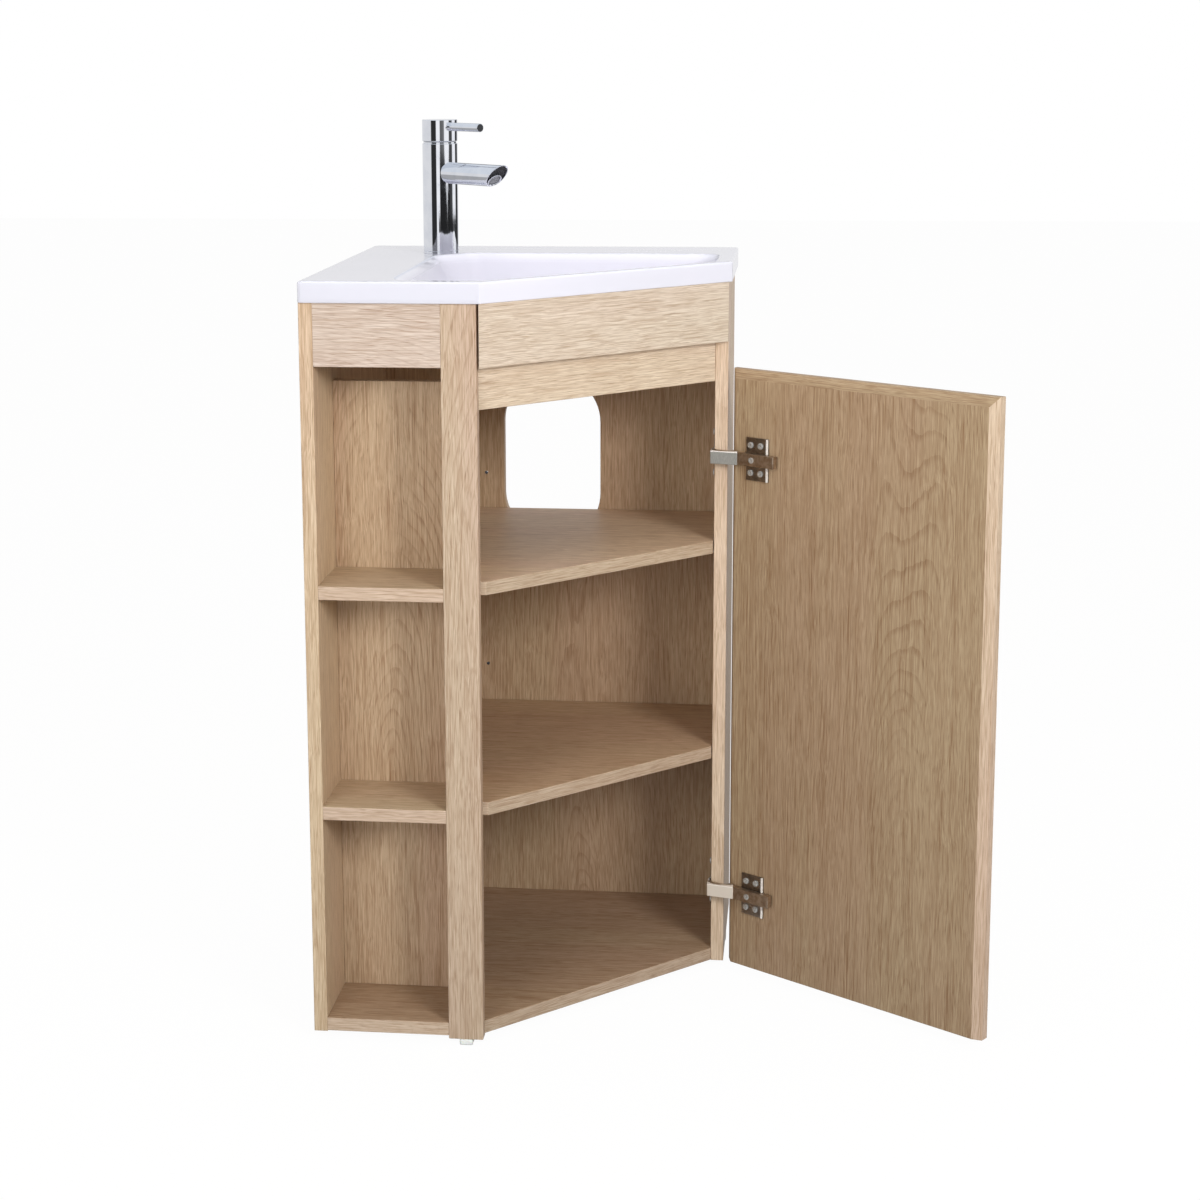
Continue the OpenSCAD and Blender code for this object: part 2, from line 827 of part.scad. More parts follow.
// Curved channel round the link, and the straight body fixed to the plate
module hinge_arm(z) {
  color("silver") door_frame() translate([0, 0, z]) difference() {
    union() {
      difference() {
        curved_bar(link_r_in, link_r_out, arm_h, arm_angle_a, arm_angle_b);
        curved_bar(link_r_in - eps, link_r_out - arm_skin, arm_h - 2 * arm_skin,
                   arm_angle_a - arm_past, link_angle_b + arm_end_room);
      }
      block([arm_s0, arm_t0 - arm_body_t, -arm_body_h / 2], [arm_s1, arm_t0, arm_body_h / 2]);
    }
    bar_y([clamp_s, arm_t0 - arm_body_t - eps, 0], clamp_d / 2 + fit, arm_body_t + 2 * eps);
  }
}

module upper_hinge_arm() {
  hinge_arm(hinge_z_hi);
}

module lower_hinge_arm() {
  hinge_arm(hinge_z_lo);
}

// Winged plate screwed to the door's inner face
module hinge_plate(z) {
  color("silver") door_frame() translate([0, 0, z]) difference() {
    union() {
      block([plate_s0, corner_t - plate_t, -plate_half], [plate_s1, corner_t, plate_half]);
      block([plate_s0 - boss_lip, corner_t - plate_t - boss_t, -boss_half],
            [arm_s1 - boss_lip, corner_t, boss_half]);
    }
    for (s = plate_screw_s) for (u = [-1, 1])
      bar_y([corner_s + s, corner_t - plate_t - eps, u * plate_screw_z], screw_d / 2 + fit,
            plate_t + 2 * eps);
    bar_y([clamp_s, corner_t - plate_t - boss_t - eps, 0], clamp_d / 2 + fit,
          plate_t + boss_t + 2 * eps);
  }
}

module upper_hinge_plate() {
  hinge_plate(hinge_z_hi);
}

module lower_hinge_plate() {
  hinge_plate(hinge_z_lo);
}

module at_plate_screws() {
  for (z = [hinge_z_hi, hinge_z_lo]) for (s = plate_screw_s) for (u = [-1, 1])
    translate([corner_s + s, corner_t - plate_t, z + u * plate_screw_z])
      rotate([-90, 0, 0]) children();
}

module hinge_plate_screws() {
  color("gray") door_frame() at_plate_screws() {
    translate([0, 0, -screw_head_h]) cylinder(r = screw_head_d / 2, h = screw_head_h);
    cylinder(r = screw_d / 2, h = screw_len);
  }
}

module hinge_clamp_screws() {
  color("gray") door_frame()
    for (z = [hinge_z_hi, hinge_z_lo]) {
      bar_y([clamp_s, arm_t0 - arm_body_t - clamp_head_h, z], clamp_head_d / 2, clamp_head_h);
      bar_y([clamp_s, arm_t0 - arm_body_t - eps, z], clamp_d / 2, arm_body_t + boss_t + plate_t);
    }
}

// ---- door ----
// Plan of the door: mitred at the hinge end, bevelled at the free edge
module door_plan() {
  end_x = unit_side - corner_x;
  far_x = corner_x + door_t * rt;
  drop = (far_x - unit_side) / rt;
  translate([corner_s, corner_t])
    polygon([[0, 0], [-end_x / rt, end_x / rt], [drop - door_t, door_t],
             [door_w, door_t], [door_w, bevel_d], [door_w - bevel_w, 0]]);
}

module door() {
  h = door_top - door_bottom;
  color("tan") door_frame() difference() {
    intersection() {
      translate([0, 0, door_bottom]) linear_extrude(h) door_plan();
      translate([-unit_side, corner_t, door_bottom]) rotate([90, 0, 90])
        linear_extrude(2 * unit_side)
          polygon([[0, 0], [door_t, 0], [door_t, h], [bevel_d, h], [0, h - bevel_w]]);
    }
    at_plate_screws() cylinder(r = screw_d / 2 + fit, h = screw_len + fit);
  }
}

left_side_panel();
right_side_panel();
back_panel();
bottom_panel();
corner_post();
niche_back_panel();
niche_divider();
niche_shelf_upper();
niche_shelf_lower();
niche_fascia();
front_fascia();
door_rail();
main_shelf_upper();
main_shelf_lower();
shelf_pins();
carcass_screws();
floor_glides();
basin();
waste_flange();
waste_seal();
waste_nut();
waste_plug();
tap_base_ring();
tap_gasket();
tap_body();
tap_spout();
tap_aerator();
tap_cartridge();
tap_spindle();
tap_head();
tap_lever();
tap_washer();
tap_nut();
tap_inlets();
upper_hinge_cup();
lower_hinge_cup();
hinge_cup_screws();
upper_hinge_link();
lower_hinge_link();
upper_hinge_arm();
lower_hinge_arm();
upper_hinge_plate();
lower_hinge_plate();
hinge_plate_screws();
hinge_clamp_screws();
door();
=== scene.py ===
import json
import math

import bmesh
import bpy
import numpy as np
from mathutils import Matrix, Vector


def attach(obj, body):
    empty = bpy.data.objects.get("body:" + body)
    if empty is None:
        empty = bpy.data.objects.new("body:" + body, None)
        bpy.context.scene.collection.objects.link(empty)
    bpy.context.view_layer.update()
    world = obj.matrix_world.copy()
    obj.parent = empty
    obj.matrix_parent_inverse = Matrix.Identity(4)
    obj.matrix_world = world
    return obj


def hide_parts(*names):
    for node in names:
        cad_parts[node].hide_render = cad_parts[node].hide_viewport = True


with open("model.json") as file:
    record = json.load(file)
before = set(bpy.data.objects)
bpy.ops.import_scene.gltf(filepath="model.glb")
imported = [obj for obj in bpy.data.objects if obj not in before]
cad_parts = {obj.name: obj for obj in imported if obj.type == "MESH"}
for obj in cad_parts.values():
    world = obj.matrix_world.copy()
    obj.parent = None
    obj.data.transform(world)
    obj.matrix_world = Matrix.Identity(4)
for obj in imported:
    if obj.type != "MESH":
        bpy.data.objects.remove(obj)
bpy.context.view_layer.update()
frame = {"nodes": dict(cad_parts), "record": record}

# ---- studio ----
# A white photographer's sweep: a pale floor without end, one soft lamp at the front
# right, weak ones in front and above, and strip lights that only the chrome shows.


def srgb(r, g, b):
    """Light values of a colour written as sRGB, 0 to 255. As a share of 255, a value up to
    0.04045 is divided by 12.92; above that, 0.055 more over 1.055 is raised to the power 2.4."""
    c = np.array([r, g, b]) / 255.0
    c = np.where(c <= 0.04045, c / 12.92, ((c + 0.055) / 1.055) ** 2.4)
    return (*c, 1.0)


class Tone:
    """A socket in a shader. Arithmetic on tones adds Math nodes; make() adds any other node."""

    def __init__(self, tree, socket=None):
        self.tree, self.socket = tree, socket

    def make(self, kind, settings=None, inputs=None, out=0):
        """Adds a node, sets its settings first, then its sockets, and returns the named output."""
        node = self.tree.nodes.new("ShaderNode" + kind)
        for key, value in (settings or {}).items():
            if key == "stops":
                for place, colour in value[len(node.color_ramp.elements):]:
                    node.color_ramp.elements.new(place)
                for element, (place, colour) in zip(node.color_ramp.elements, value):
                    element.position, element.color = place, colour
            else:
                setattr(node, key, value)
        for key, value in (inputs or {}).items():
            if isinstance(value, Tone):
                self.tree.links.new(value.socket, node.inputs[key])
            else:
                node.inputs[key].default_value = value
        return Tone(self.tree, node.outputs[out] if node.outputs else None)

    def maths(self, operation, *values):
        """A Math node's operation on these tones or numbers."""
        return self.make("Math", {"operation": operation}, dict(enumerate(values)))

    def __add__(self, other):
        return self.maths("ADD", self, other)

    __radd__ = __add__

    def __sub__(self, other):
        return self.maths("SUBTRACT", self, other)

    def __rsub__(self, other):
        return self.maths("SUBTRACT", other, self)

    def __mul__(self, other):
        return self.maths("MULTIPLY", self, other)

    __rmul__ = __mul__

    def __truediv__(self, other):
        return self.maths("DIVIDE", self, other)

    def ramp(self, low, high, to_low=0.0, to_high=1.0):
        """Smooth step from to_low at low to to_high at high."""
        return self.make(
            "MapRange", {"interpolation_type": "SMOOTHSTEP"},
            {"Value": self, "From Min": low, "From Max": high, "To Min": to_low, "To Max": to_high})

    def mix(self, a, b):
        """Colour a where this tone is 0 and b where it is 1."""
        return self.make("Mix", {"data_type": "RGBA"}, {0: self, 6: a, 7: b}, 2)

    def dot(self, vector):
        """How far this point lies along the vector."""
        return self.make("VectorMath", {"operation": "DOT_PRODUCT"}, {0: self, 1: vector}, 1)

    def point(self, x, y, z):
        """The point that has these three tones as its coordinates."""
        return self.make("CombineXYZ", None, {0: x, 1: y, 2: z})

    def noise(self, scale=1.0, detail=2.0, rough=0.5):
        """Soft random pattern, 0 to 1, about one blob in each 1/scale metres."""
        return self.make("TexNoise", None, {
            "Vector": self, "Scale": scale, "Detail": detail, "Roughness": rough})

    def bump(self, strength, depth):
        """Normal of a surface raised by this tone times depth, as strongly as strength says."""
        return self.make("Bump", None, {"Strength": strength, "Distance": depth, "Height": self})


# Camera: solved from the photograph's straight edges, with the frame's centre off the lens axis
lens_at = (0.54128, -2.88278, 1.09447)
yaw, pitch, roll = (math.radians(a) for a in (6.78, 10.17, -0.32))
ahead = Vector((-math.sin(yaw) * math.cos(pitch), math.cos(yaw) * math.cos(pitch),
                -math.sin(pitch)))
level = Vector((math.cos(yaw), math.sin(yaw), 0))
upward = level.cross(ahead)
side = level * math.cos(roll) + upward * math.sin(roll)
top = upward * math.cos(roll) - level * math.sin(roll)
camera = bpy.data.objects.new("camera", bpy.data.cameras.new("camera"))
turned_to = Matrix((side, top, -ahead)).transposed().to_4x4()
camera.matrix_world = Matrix.Translation(lens_at) @ turned_to
camera.data.sensor_width = 36
camera.data.lens = 70.7
camera.data.shift_x, camera.data.shift_y = 0.0544, -0.1108
bpy.context.scene.collection.objects.link(camera)
bpy.context.scene.camera = camera
bpy.context.scene.view_settings.view_transform = "Standard"

# Room light: even for diffuse rays, white for the camera, and for chrome a ring of upright strip
# lights. Each stop of the ring is (bearing in degrees, brightness); bearing 0 is the camera's
world = bpy.data.worlds.new("studio")
world.use_nodes = True
world.node_tree.nodes.clear()
room = Tone(world.node_tree)
way = room.make("TexCoord", None, None, "Generated")
off_camera = math.radians(80.97)
turn = room.maths("ARCTAN2", way.dot((0, 1, 0)), way.dot((1, 0, 0)))
turn = room.maths("FRACT", (turn + off_camera) / (2 * math.pi) + 0.5)
grey = lambda v: (v, v, v * 1.02, 1)
strips = [(-180, 0.80), (-62, 0.80), (-59, 0.03), (-27, 0.03), (-24, 1.0), (-3, 1.0),
          (1, 0.12), (25, 0.2), (29, 1.0), (58, 1.0), (62, 0.06), (83, 0.08), (87, 1.0),
          (112, 1.0), (117, 0.04), (143, 0.04), (149, 0.9), (180, 0.8)]
stops = [((degrees + 180) / 360, grey(bright)) for degrees, bright in strips]
strip = turn.make("ValToRGB", {"stops": stops}, {0: turn})
even = room.make("Background", None, {"Color": (1.0, 0.99, 0.985, 1), "Strength": 0.5})
# Over the ring a pale dome with a dark patch behind the unit, under it grey
rise = way.dot((0, 0, 1))
behind = way.dot((0, 1, 0)).ramp(0.7, 0.82) * rise.ramp(0.2, 0.23) * (1 - rise.ramp(0.33, 0.37))
dome = behind.mix((0.74, 0.78, 0.84, 1), grey(0.05))
strip = rise.ramp(0.13, 0.18).mix(strip, dome)
strip = rise.ramp(-0.13, -0.2).mix(strip, grey(0.42))
# Just under the horizon a dark block with wedges over it, which the spout's side shows
bearing = turn * 360 - 180
closing = rise.ramp(-0.04, -0.0715)
beside = room.maths("ABSOLUTE", bearing - 43.5) - (1 - closing) * 15.0
ends = room.maths("ABSOLUTE", bearing - 31).ramp(36, 33)
wedge = beside.ramp(-1.5, 1.5) * closing.ramp(0.0, 0.25) * ends
block = rise.ramp(-0.0705, -0.0725) * room.maths("ABSOLUTE", bearing - 52).ramp(68, 64)
low = rise.ramp(-0.1, -0.12)
strip = (room.maths("MAXIMUM", wedge, block) * (1 - low)).mix(strip, grey(0.02))
shiny = room.make("Background", None, {"Color": strip, "Strength": 1.0})
white = room.make("Background", None, {"Color": (1, 1, 1, 1), "Strength": 1.0})
by_camera, by_glass, by_gloss = (room.make("LightPath", None, None, f"Is {kind} Ray")
                                 for kind in ("Camera", "Transmission", "Glossy"))
lit = room.make("MixShader", None, {0: by_gloss, 1: even, 2: shiny})
seen = room.maths("MAXIMUM", by_camera, by_glass)
lit = room.make("MixShader", None, {0: seen, 1: lit, 2: white})
room.make("OutputWorld", None, {0: lit})
bpy.context.scene.world = world


def lamp(name, place, aim, size, power):
    """A square soft lamp at place, turned to aim. It lights surfaces and no reflection shows it."""
    light = bpy.data.objects.new(name, bpy.data.lights.new(name, "AREA"))
    light.data.size, light.data.energy = size, power
    light.location = place
    light.rotation_euler = (Vector(aim) - Vector(place)).to_track_quat("-Z", "Y").to_euler()
    light.visible_glossy = False
    bpy.context.scene.collection.objects.link(light)


lamp("key_lamp", (1.95, -2.55, 1.62), (0.25, -0.3, 0.5), 0.8, 50)
lamp("fill_lamp", (-0.75, -2.9, 1.25), (0.25, -0.3, 0.5), 1.0, 24)
lamp("top_lamp", (0.3, -0.3, 2.6), (0.3, -0.3, 0.85), 1.5, 9)

floor_mesh = bpy.data.meshes.new("floor")
far = 12
floor_mesh.from_pydata([(-far, -far, 0), (far, -far, 0), (far, far, 0), (-far, far, 0)], [],
                       [(0, 1, 2, 3)])
floor = bpy.data.objects.new("floor", floor_mesh)
bpy.context.scene.collection.objects.link(floor)
paper = bpy.data.materials.new("paper_sweep")
paper.use_nodes = True
paper.node_tree.nodes.clear()
sheet = Tone(paper.node_tree)
matt = sheet.make("BsdfDiffuse", None, {"Color": (0.5, 0.49, 0.48, 1)})
glow = sheet.make("Emission", None, {"Color": (1, 1, 1, 1), "Strength": 1.04})
clear = sheet.make("BsdfTransparent")
# The camera sees mostly glow, so that the floor melts into the background and keeps a soft shadow
share = sheet.make("LightPath", None, None, "Is Camera Ray") * 0.93
seen_floor = sheet.make("MixShader", None, {0: share, 1: matt, 2: glow})
shine = sheet.make("LightPath", None, None, "Is Glossy Ray")
seen_floor = sheet.make("MixShader", None, {0: shine, 1: seen_floor, 2: clear})
sheet.make("OutputMaterial", None, {0: seen_floor})
floor_mesh.materials.append(paper)

# ---- boards ----
# Melamine-faced chipboard with a printed light oak decor and a 0.4 mm edge band,
# so every edge is a tight bright arris. The grain runs upright on panels, post and
# door, and lengthwise on fascias, rail and shelves.


def finish(name, paint, fixed=None):
    """A material: fixed values on the shader's sockets, and the tones that paint(place) returns
    for the place on the object."""
    material = bpy.data.materials.new(name)
    material.use_nodes = True
    tree = material.node_tree
    shader = tree.nodes["Principled BSDF"]
    for key, value in (fixed or {}).items():
        shader.inputs[key].default_value = value
    place = Tone(tree).make("TexCoord", None, None, "Object")
    for key, tone in paint(place).items():
        tree.links.new(tone.socket, shader.inputs[key])
    return material


def oak(name, along, across, start, tint_and_light=(1, 1, 1), figure=1.0, heart=0.0, lean=0.13):
    """Printed oak. Year rings are cylinders round a pith that runs along the board at the place
    heart across it and leans away from its face, so they show as nested arches at the heart and as
    straight lines beside it; fibres and pores are fine noises stretched along the grain. start
    shifts the pattern from board to board, the tint dyes it and also paints light and shade, paler
    on lit boards and darker on shaded ones, and figure strengthens the rings. The colour is painted
    a little darker towards the floor: painted shade for the lamps' light falling off."""
    third = tuple(np.cross(along, across))
    shade = lambda r, g, b: (*(np.array(srgb(r, g, b)[:3]) * tint_and_light), 1.0)

    def paint(place):
        """The tones, from w along the grain, u across the face and v through the board."""
        w = place.dot(along) + start[0]
        u = place.dot(across) + start[1]
        v = place.dot(third) + start[2]
        sway = (place.point(u * 24, v * 24, w * 10).noise(1.0, 2.0, 0.5) - 0.5) * 0.005
        u2, v2 = u + sway, v + sway
        # Year rings: the distance from the pith, bent by a broad field and a fine ripple
        field = place.point(u * 5, v * 5, w * 1.5).noise(1.0, 1.0, 0.4) - 0.5
        depth = field * 0.2 + place.dot(along) * lean + 0.01
        aside = place.dot(across) - heart + sway
        ripple = (place.point(u * 80, v * 80, w * 11).noise(1.0, 2.0, 0.6) - 0.5) * 0.0024
        radius = place.maths("SQRT", aside * aside + depth * depth) + field * 0.05 + ripple
        year = place.maths("FRACT", radius * 225.0).ramp(0.66, 0.95)
        # Fibres, darker strands in clusters, ring lines that come and go, and pores
        fibre = place.point(u2 * 1700, v2 * 1700, w * 26).noise(1.0, 2.0, 0.6)
        strand = place.point(u2 * 1150, v2 * 1150, w * 11).noise(1.0, 3.0, 0.6)
        cluster = place.point(u2 * 170, v2 * 170, w * 4).noise(1.0, 2.0, 0.6).ramp(0.4, 0.66)
        zone = place.point(u * 9, v * 9, w * 1.8).noise(1.0, 2.0, 0.5).ramp(0.3, 0.62)
        line = year * zone * strand.ramp(0.2, 0.6)
        pore = place.point(u2 * 1200, v2 * 1200, w * 52).noise(1.0, 1.0, 0.5).ramp(0.52, 0.72)
        # Colours from the palest wood to the pores
        drift = place.point(u * 12, v * 12, w * 1.2).noise(1.0, 2.0, 0.5).ramp(0.35, 0.65)
        base = drift.mix(shade(219, 198, 168), shade(217, 191, 165))
        base = (fibre.ramp(0.38, 0.66) * 0.85).mix(base, shade(180, 151, 120))
        dark = strand.ramp(0.42, 0.66) * (0.16 + cluster * 0.75) * figure
        base = dark.mix(base, shade(163, 129, 97))
        base = (line * (0.15 + fibre * 0.75) * figure).mix(base, shade(156, 120, 88))
        base = (pore * (0.3 + year * 0.25)).mix(base, shade(138, 107, 78))
        # Painted shade: the colour is darkened towards the floor, in place of the lamps' fall-off
        base = (0.84 + place.dot(UP) * 0.2).mix(shade(0, 0, 0), base)
        height = fibre * 0.5 - pore * 0.8 - line * 0.5
        return {
            "Base Color": base,
            "Roughness": 0.42 + fibre * 0.1 + pore * 0.12,
            "Normal": height.bump(0.12, 0.0002),
        }

    return finish(name, paint, {
        "Specular IOR Level": 0.4, "Coat Weight": 0.06, "Coat Roughness": 0.35})


nodes_on = frame["record"]["behaviour"]["bodies"]
bodies = {node: body for body, nodes in nodes_on.items() for node in nodes}


def stand_for(mesh, material, *nodes):
    """The piece made of this mesh takes the place of these solids and rides on their body."""
    piece = bpy.data.objects.new(mesh.name, mesh)
    bpy.context.scene.collection.objects.link(piece)
    mesh.materials.append(material)
    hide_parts(*nodes)
    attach(piece, bodies[nodes[0]])
    return piece


def eased(node, radius, material, shortest=0.0):
    """Copy of a solid with its loose triangles merged and its sharp edges rounded to radius.
    Edges under the shortest length, such as the rim of a small hole, stay sharp."""
    mesh = bpy.data.meshes.new(node + "_eased")
    work = bmesh.new()
    work.from_mesh(frame["nodes"][node].data)
    bmesh.ops.remove_doubles(work, verts=work.verts, dist=2e-6)
    bmesh.ops.dissolve_limit(work, angle_limit=0.003, verts=work.verts, edges=work.edges)
    weight = work.edges.layers.float.new("bevel_weight_edge")
    crease = math.radians(28)
    for edge in work.edges:
        sharp = edge.calc_face_angle(0.0) > crease
        edge[weight] = float(sharp and edge.calc_length() > shortest)
    work.to_mesh(mesh)
    work.free()
    mesh.polygons.foreach_set("use_smooth", np.ones(len(mesh.polygons), bool))
    mesh.set_sharp_from_angle(angle=crease)
    piece = stand_for(mesh, material, node)
    ease = piece.modifiers.new("ease", "BEVEL")
    ease.width, ease.segments = radius, 2
    ease.limit_method, ease.use_clamp_overlap = "WEIGHT", False
    weigh = piece.modifiers.new("weigh", "WEIGHTED_NORMAL")
    weigh.weight, weigh.keep_sharp = 100, True
    return piece


def repaint(piece, material, wanted):
    """Gives the faces that pass the test wanted(face) one more material."""
    piece.data.materials.append(material)
    for face in piece.data.polygons:
        if wanted(face):
            face.material_index = len(piece.data.materials) - 1


UP, RIGHT, BACK = (0, 0, 1), (1, 0, 0), (0, 1, 0)
HALF = math.sqrt(0.5)
SLANT = (HALF, HALF, 0)
# The way along the open door from its hinges, and the way its outer face looks
LEAF, OUTER = (0.8100, -0.5864, 0), (0.5864, 0.8100, 0)
arris, smallest = 0.0006, 0.004
pale_band, slanted_band = (1.04, 1.07, 1.15), (0.88, 0.89, 0.94)
lit_door_face, door_end, core_shade = (1.08, 1.14, 1.26), (1.05, 1.06, 1.12), (0.06, 0.05, 0.05)
pith_leans = (0.11, -0.13)
# For each board: the way of its grain, the way across its face, its tint, the strength of its
# rings, and the place of the heart as a share of the width, which may lie beside the board. The
# tints paint light and shade as well as dye: lit boards such as the fascias, the rail and the upper
# shelf are paler and bluer, shaded ones such as the bottom, the back and the door's inner face
# darker
boards = {
    "left_side_panel": (UP, BACK, (1.1, 1.11, 1.1), 0.8, 1.2),
    "right_side_panel": (UP, BACK, (1.17, 1.22, 1.3), 0.6, 1.4),
    "back_panel": (UP, RIGHT, (0.95, 0.9, 0.84), 0.7, 0.6),
    "niche_back_panel": (UP, RIGHT, (1.05, 1.02, 1.0), 1.0, 0.45),
    "niche_divider": (UP, BACK, (0.97, 0.93, 0.87), 0.9, 0.4),
    "corner_post": (UP, RIGHT, (0.96, 0.97, 1.03), 0.6, 2.4),
    "niche_fascia": (RIGHT, UP, (1.04, 1.11, 1.37), 0.6, -0.3),
    "front_fascia": (SLANT, UP, (1.12, 1.24, 1.45), 0.5, 1.25),
    "door_rail": (SLANT, UP, (1.14, 1.22, 1.35), 0.5, 1.6),
    "bottom_panel": (RIGHT, BACK, (0.8, 0.74, 0.71), 1.0, 0.5),
    "main_shelf_upper": (RIGHT, BACK, (1.22, 1.18, 1.18), 0.7, 0.4),
    "main_shelf_lower": (RIGHT, BACK, (0.95, 0.88, 0.82), 0.9, 0.6),
    "niche_shelf_upper": (RIGHT, BACK, (0.98, 1.0, 0.98), 0.7, 1.3),
    "niche_shelf_lower": (RIGHT, BACK, (1.02, 1.04, 1.02), 0.8, 1.3),
    "door": (UP, LEAF, (0.76, 0.72, 0.65), 1.0, 0.72),
}
for place, (node, (along, across, tint_and_light, figure, share)) in enumerate(boards.items()):
    start = (1.7 * place, 0.45 * place, 0.27 * place)
    edges = np.array([v.co for v in frame["nodes"][node].data.vertices]) @ across
    heart = edges.min() + np.ptp(edges) * share
    paint = oak("oak_" + node, along, across, start, tint_and_light, figure, heart, pith_leans[place % 2])
    board = eased(node, arris, paint, smallest)
    if across == BACK and along == RIGHT:
        # Edge bands: the grain follows each front edge
        band = oak("edge_" + node, SLANT, UP, start, slanted_band, 0.3)
        repaint(board, band, lambda face: abs(face.normal.z) < 0.5)
        band = oak("end_" + node, RIGHT, UP, start, pale_band, 0.3)
        repaint(board, band, lambda face: face.normal.y < -0.9)
    if node == "door":
        band = oak("edge_" + node, LEAF, UP, start, tint_and_light, 0.5)
        repaint(board, band, lambda face: abs(face.normal.z) > 0.2)
        # The outer face, seen when the door is shut, matches the fascias: painted paler, as painted
        # light
        band = oak("face_" + node, UP, LEAF, start, lit_door_face, 0.9, heart)
        repaint(board, band, lambda face: face.normal @ Vector(OUTER) > 0.9)
        band = oak("end_" + node, UP, LEAF, start, door_end, 0.4)
        repaint(board, band,
                lambda face: abs(face.normal.z) < 0.2 and face.normal @ Vector(LEAF) > 0.3)
    if node == "front_fascia":
        # The real joint with the post is narrower than the solid's, so the front corner is drawn
        # out along the face, as far as the basin's front
        at = np.array([v.co for v in board.data.vertices])
        near_post = at @ SLANT < (at @ SLANT).min() + 0.001
        basin_front = -0.45
        reach = near_post * (at[:, 1] - basin_front) / SLANT[1]
        board.data.vertices.foreach_set("co", (at - reach[:, None] * np.array(SLANT)).ravel())
    if node == "back_panel":
        # Inside the two wall-fixing holes the raw core is darker than the decor, and it is painted
        # almost black as painted shade
        core = oak("core_" + node, UP, RIGHT, start, core_shade, 0.5)
        repaint(board, core, lambda face: face.area < 5e-5 and abs(face.normal.y) < 0.1)

# ---- basin ----
# One casting of mineral resin with a white gel coat: a slab rim whose edges are
# rounded in the mould, and a bowl that follows the five sides and falls to the waste.

mm = 0.001


def skin(name, grid, close_rows=False):
    """Mesh over a grid of points [row, column]. Columns close on themselves, rows too if asked,
    and poles and seams are merged. Faces are then turned outwards and softened below 35 degrees."""
    rows, columns = grid.shape[:2]
    at = np.arange(rows * columns).reshape(rows, columns)
    if close_rows:
        at = np.vstack([at, at[:1]])
    a, b = at[:-1], at[1:]
    quads = np.stack([a, np.roll(a, -1, 1), np.roll(b, -1, 1), b], -1).reshape(-1, 4)
    mesh = bpy.data.meshes.new(name)
    mesh.from_pydata(grid.reshape(-1, 3).tolist(), [], quads.tolist())
    return tidy(mesh)


def tidy(mesh, soft=35):
    """Merges doubles, drops empty faces, turns the faces outwards, and marks as sharp the edges
    that turn by more than soft degrees."""
    work = bmesh.new()
    work.from_mesh(mesh)
    bmesh.ops.remove_doubles(work, verts=work.verts, dist=1e-7)
    bmesh.ops.dissolve_degenerate(work, dist=1e-8, edges=work.edges)
    bmesh.ops.recalc_face_normals(work, faces=work.faces)
    work.to_mesh(mesh)
    work.free()
    mesh.polygons.foreach_set("use_smooth", np.ones(len(mesh.polygons), bool))
    mesh.set_sharp_from_angle(angle=math.radians(soft))
    return mesh


# Sizes in mm. The rim is wide by the walls, where the tap stands, and narrow in front
basin_side, basin_end = 450.0, 194.5
rim_top, rim_low = 850.0, 827.0
bowl_wall_side, bowl_end_rim, bowl_front_rim, bowl_near = 99.0, 20.0, 14.0, 236.0
bowl_depth, bowl_taper, bowl_wall = 78.0, 46.0, 8.0
middle = np.array([225.0, -225.0])
# Each outline: straight sides as (normal, distance from the corner of the room)
slab_front = (basin_side + basin_end) * HALF
slab_sides = [((0, 1), 0.0), ((1, 0), basin_side), ((HALF, -HALF), slab_front),
              ((0, -1), basin_side), ((-1, 0), 0.0)]
bowl_far = basin_side - bowl_end_rim
bowl_sides = [((0, 1), -bowl_wall_side), ((1, 0), bowl_far),
              ((HALF, -HALF), slab_front - bowl_front_rim), ((0, -1), bowl_far),
              ((-1, 0), -bowl_wall_side), ((-HALF, HALF), -bowl_near * HALF)]
# The bearings of the grid's columns: one to a degree, and a fan of more at each corner (x, y)
slab_corners = [(225, 225), (-225, 225), (-225, -225), (225, 30.5), (-30.5, -225)]
bowl_corners = [(205, 126), (205, 10.5), (-10.5, -205), (-126, -205)]
fans = [math.atan2(y, x) + np.linspace(-spread, spread, count)
        for corners, spread, count in ((slab_corners, 0.02, 15), (bowl_corners, 0.12, 13))
        for x, y in corners]
bearings = np.unique(np.concatenate([np.linspace(-math.pi, math.pi, 361)[:-1], *fans]))
rays_out = np.stack([np.cos(bearings), np.sin(bearings)], -1)


def outline(sides, inset, radius):
    """Distance from the middle to a rounded polygon along every bearing: the nearest side's line,
    or, past its end, the circle of the corner's radius. inset moves all sides inwards."""
    normal = np.array([n for n, _ in sides], float)
    reach = np.array([d for _, d in sides], float) - normal @ middle - inset
    facing = rays_out @ normal.T
    hit = np.where(facing > 1e-9, reach / np.maximum(facing, 1e-9), 1e9)
    best = hit.min(1)
    for i in range(len(sides)):
        j = (i + 1) % len(sides)
        centre = np.linalg.solve(normal[[i, j]], reach[[i, j]] - radius)
        along = rays_out @ centre
        under = radius ** 2 - centre @ centre + along ** 2
        far = along + np.sqrt(np.maximum(under, 0))
        spot = rays_out * far[:, None] - centre
        turn = normal[i][0] * normal[j][1] - normal[i][1] * normal[j][0]
        first = (normal[i][0] * spot[:, 1] - normal[i][1] * spot[:, 0]) * turn
        last = (spot[:, 0] * normal[j][1] - spot[:, 1] * normal[j][0]) * turn
        best = np.where((under > 0) & (first > 0) & (last > 0), np.minimum(far, best), best)
    return best


def ring(distance, height):
    """Row of points at these distances from the middle, at one height, in metres."""
    flat = middle + rays_out * np.broadcast_to(distance, bearings.shape)[:, None]
    return np.column_stack([flat, np.full(len(flat), height)]) * mm


def quarter(steps):
    """Sine and cosine of the angles of a quarter turn."""
    t = np.linspace(0, math.pi / 2, steps + 1)
    return list(zip(np.sin(t), np.cos(t)))


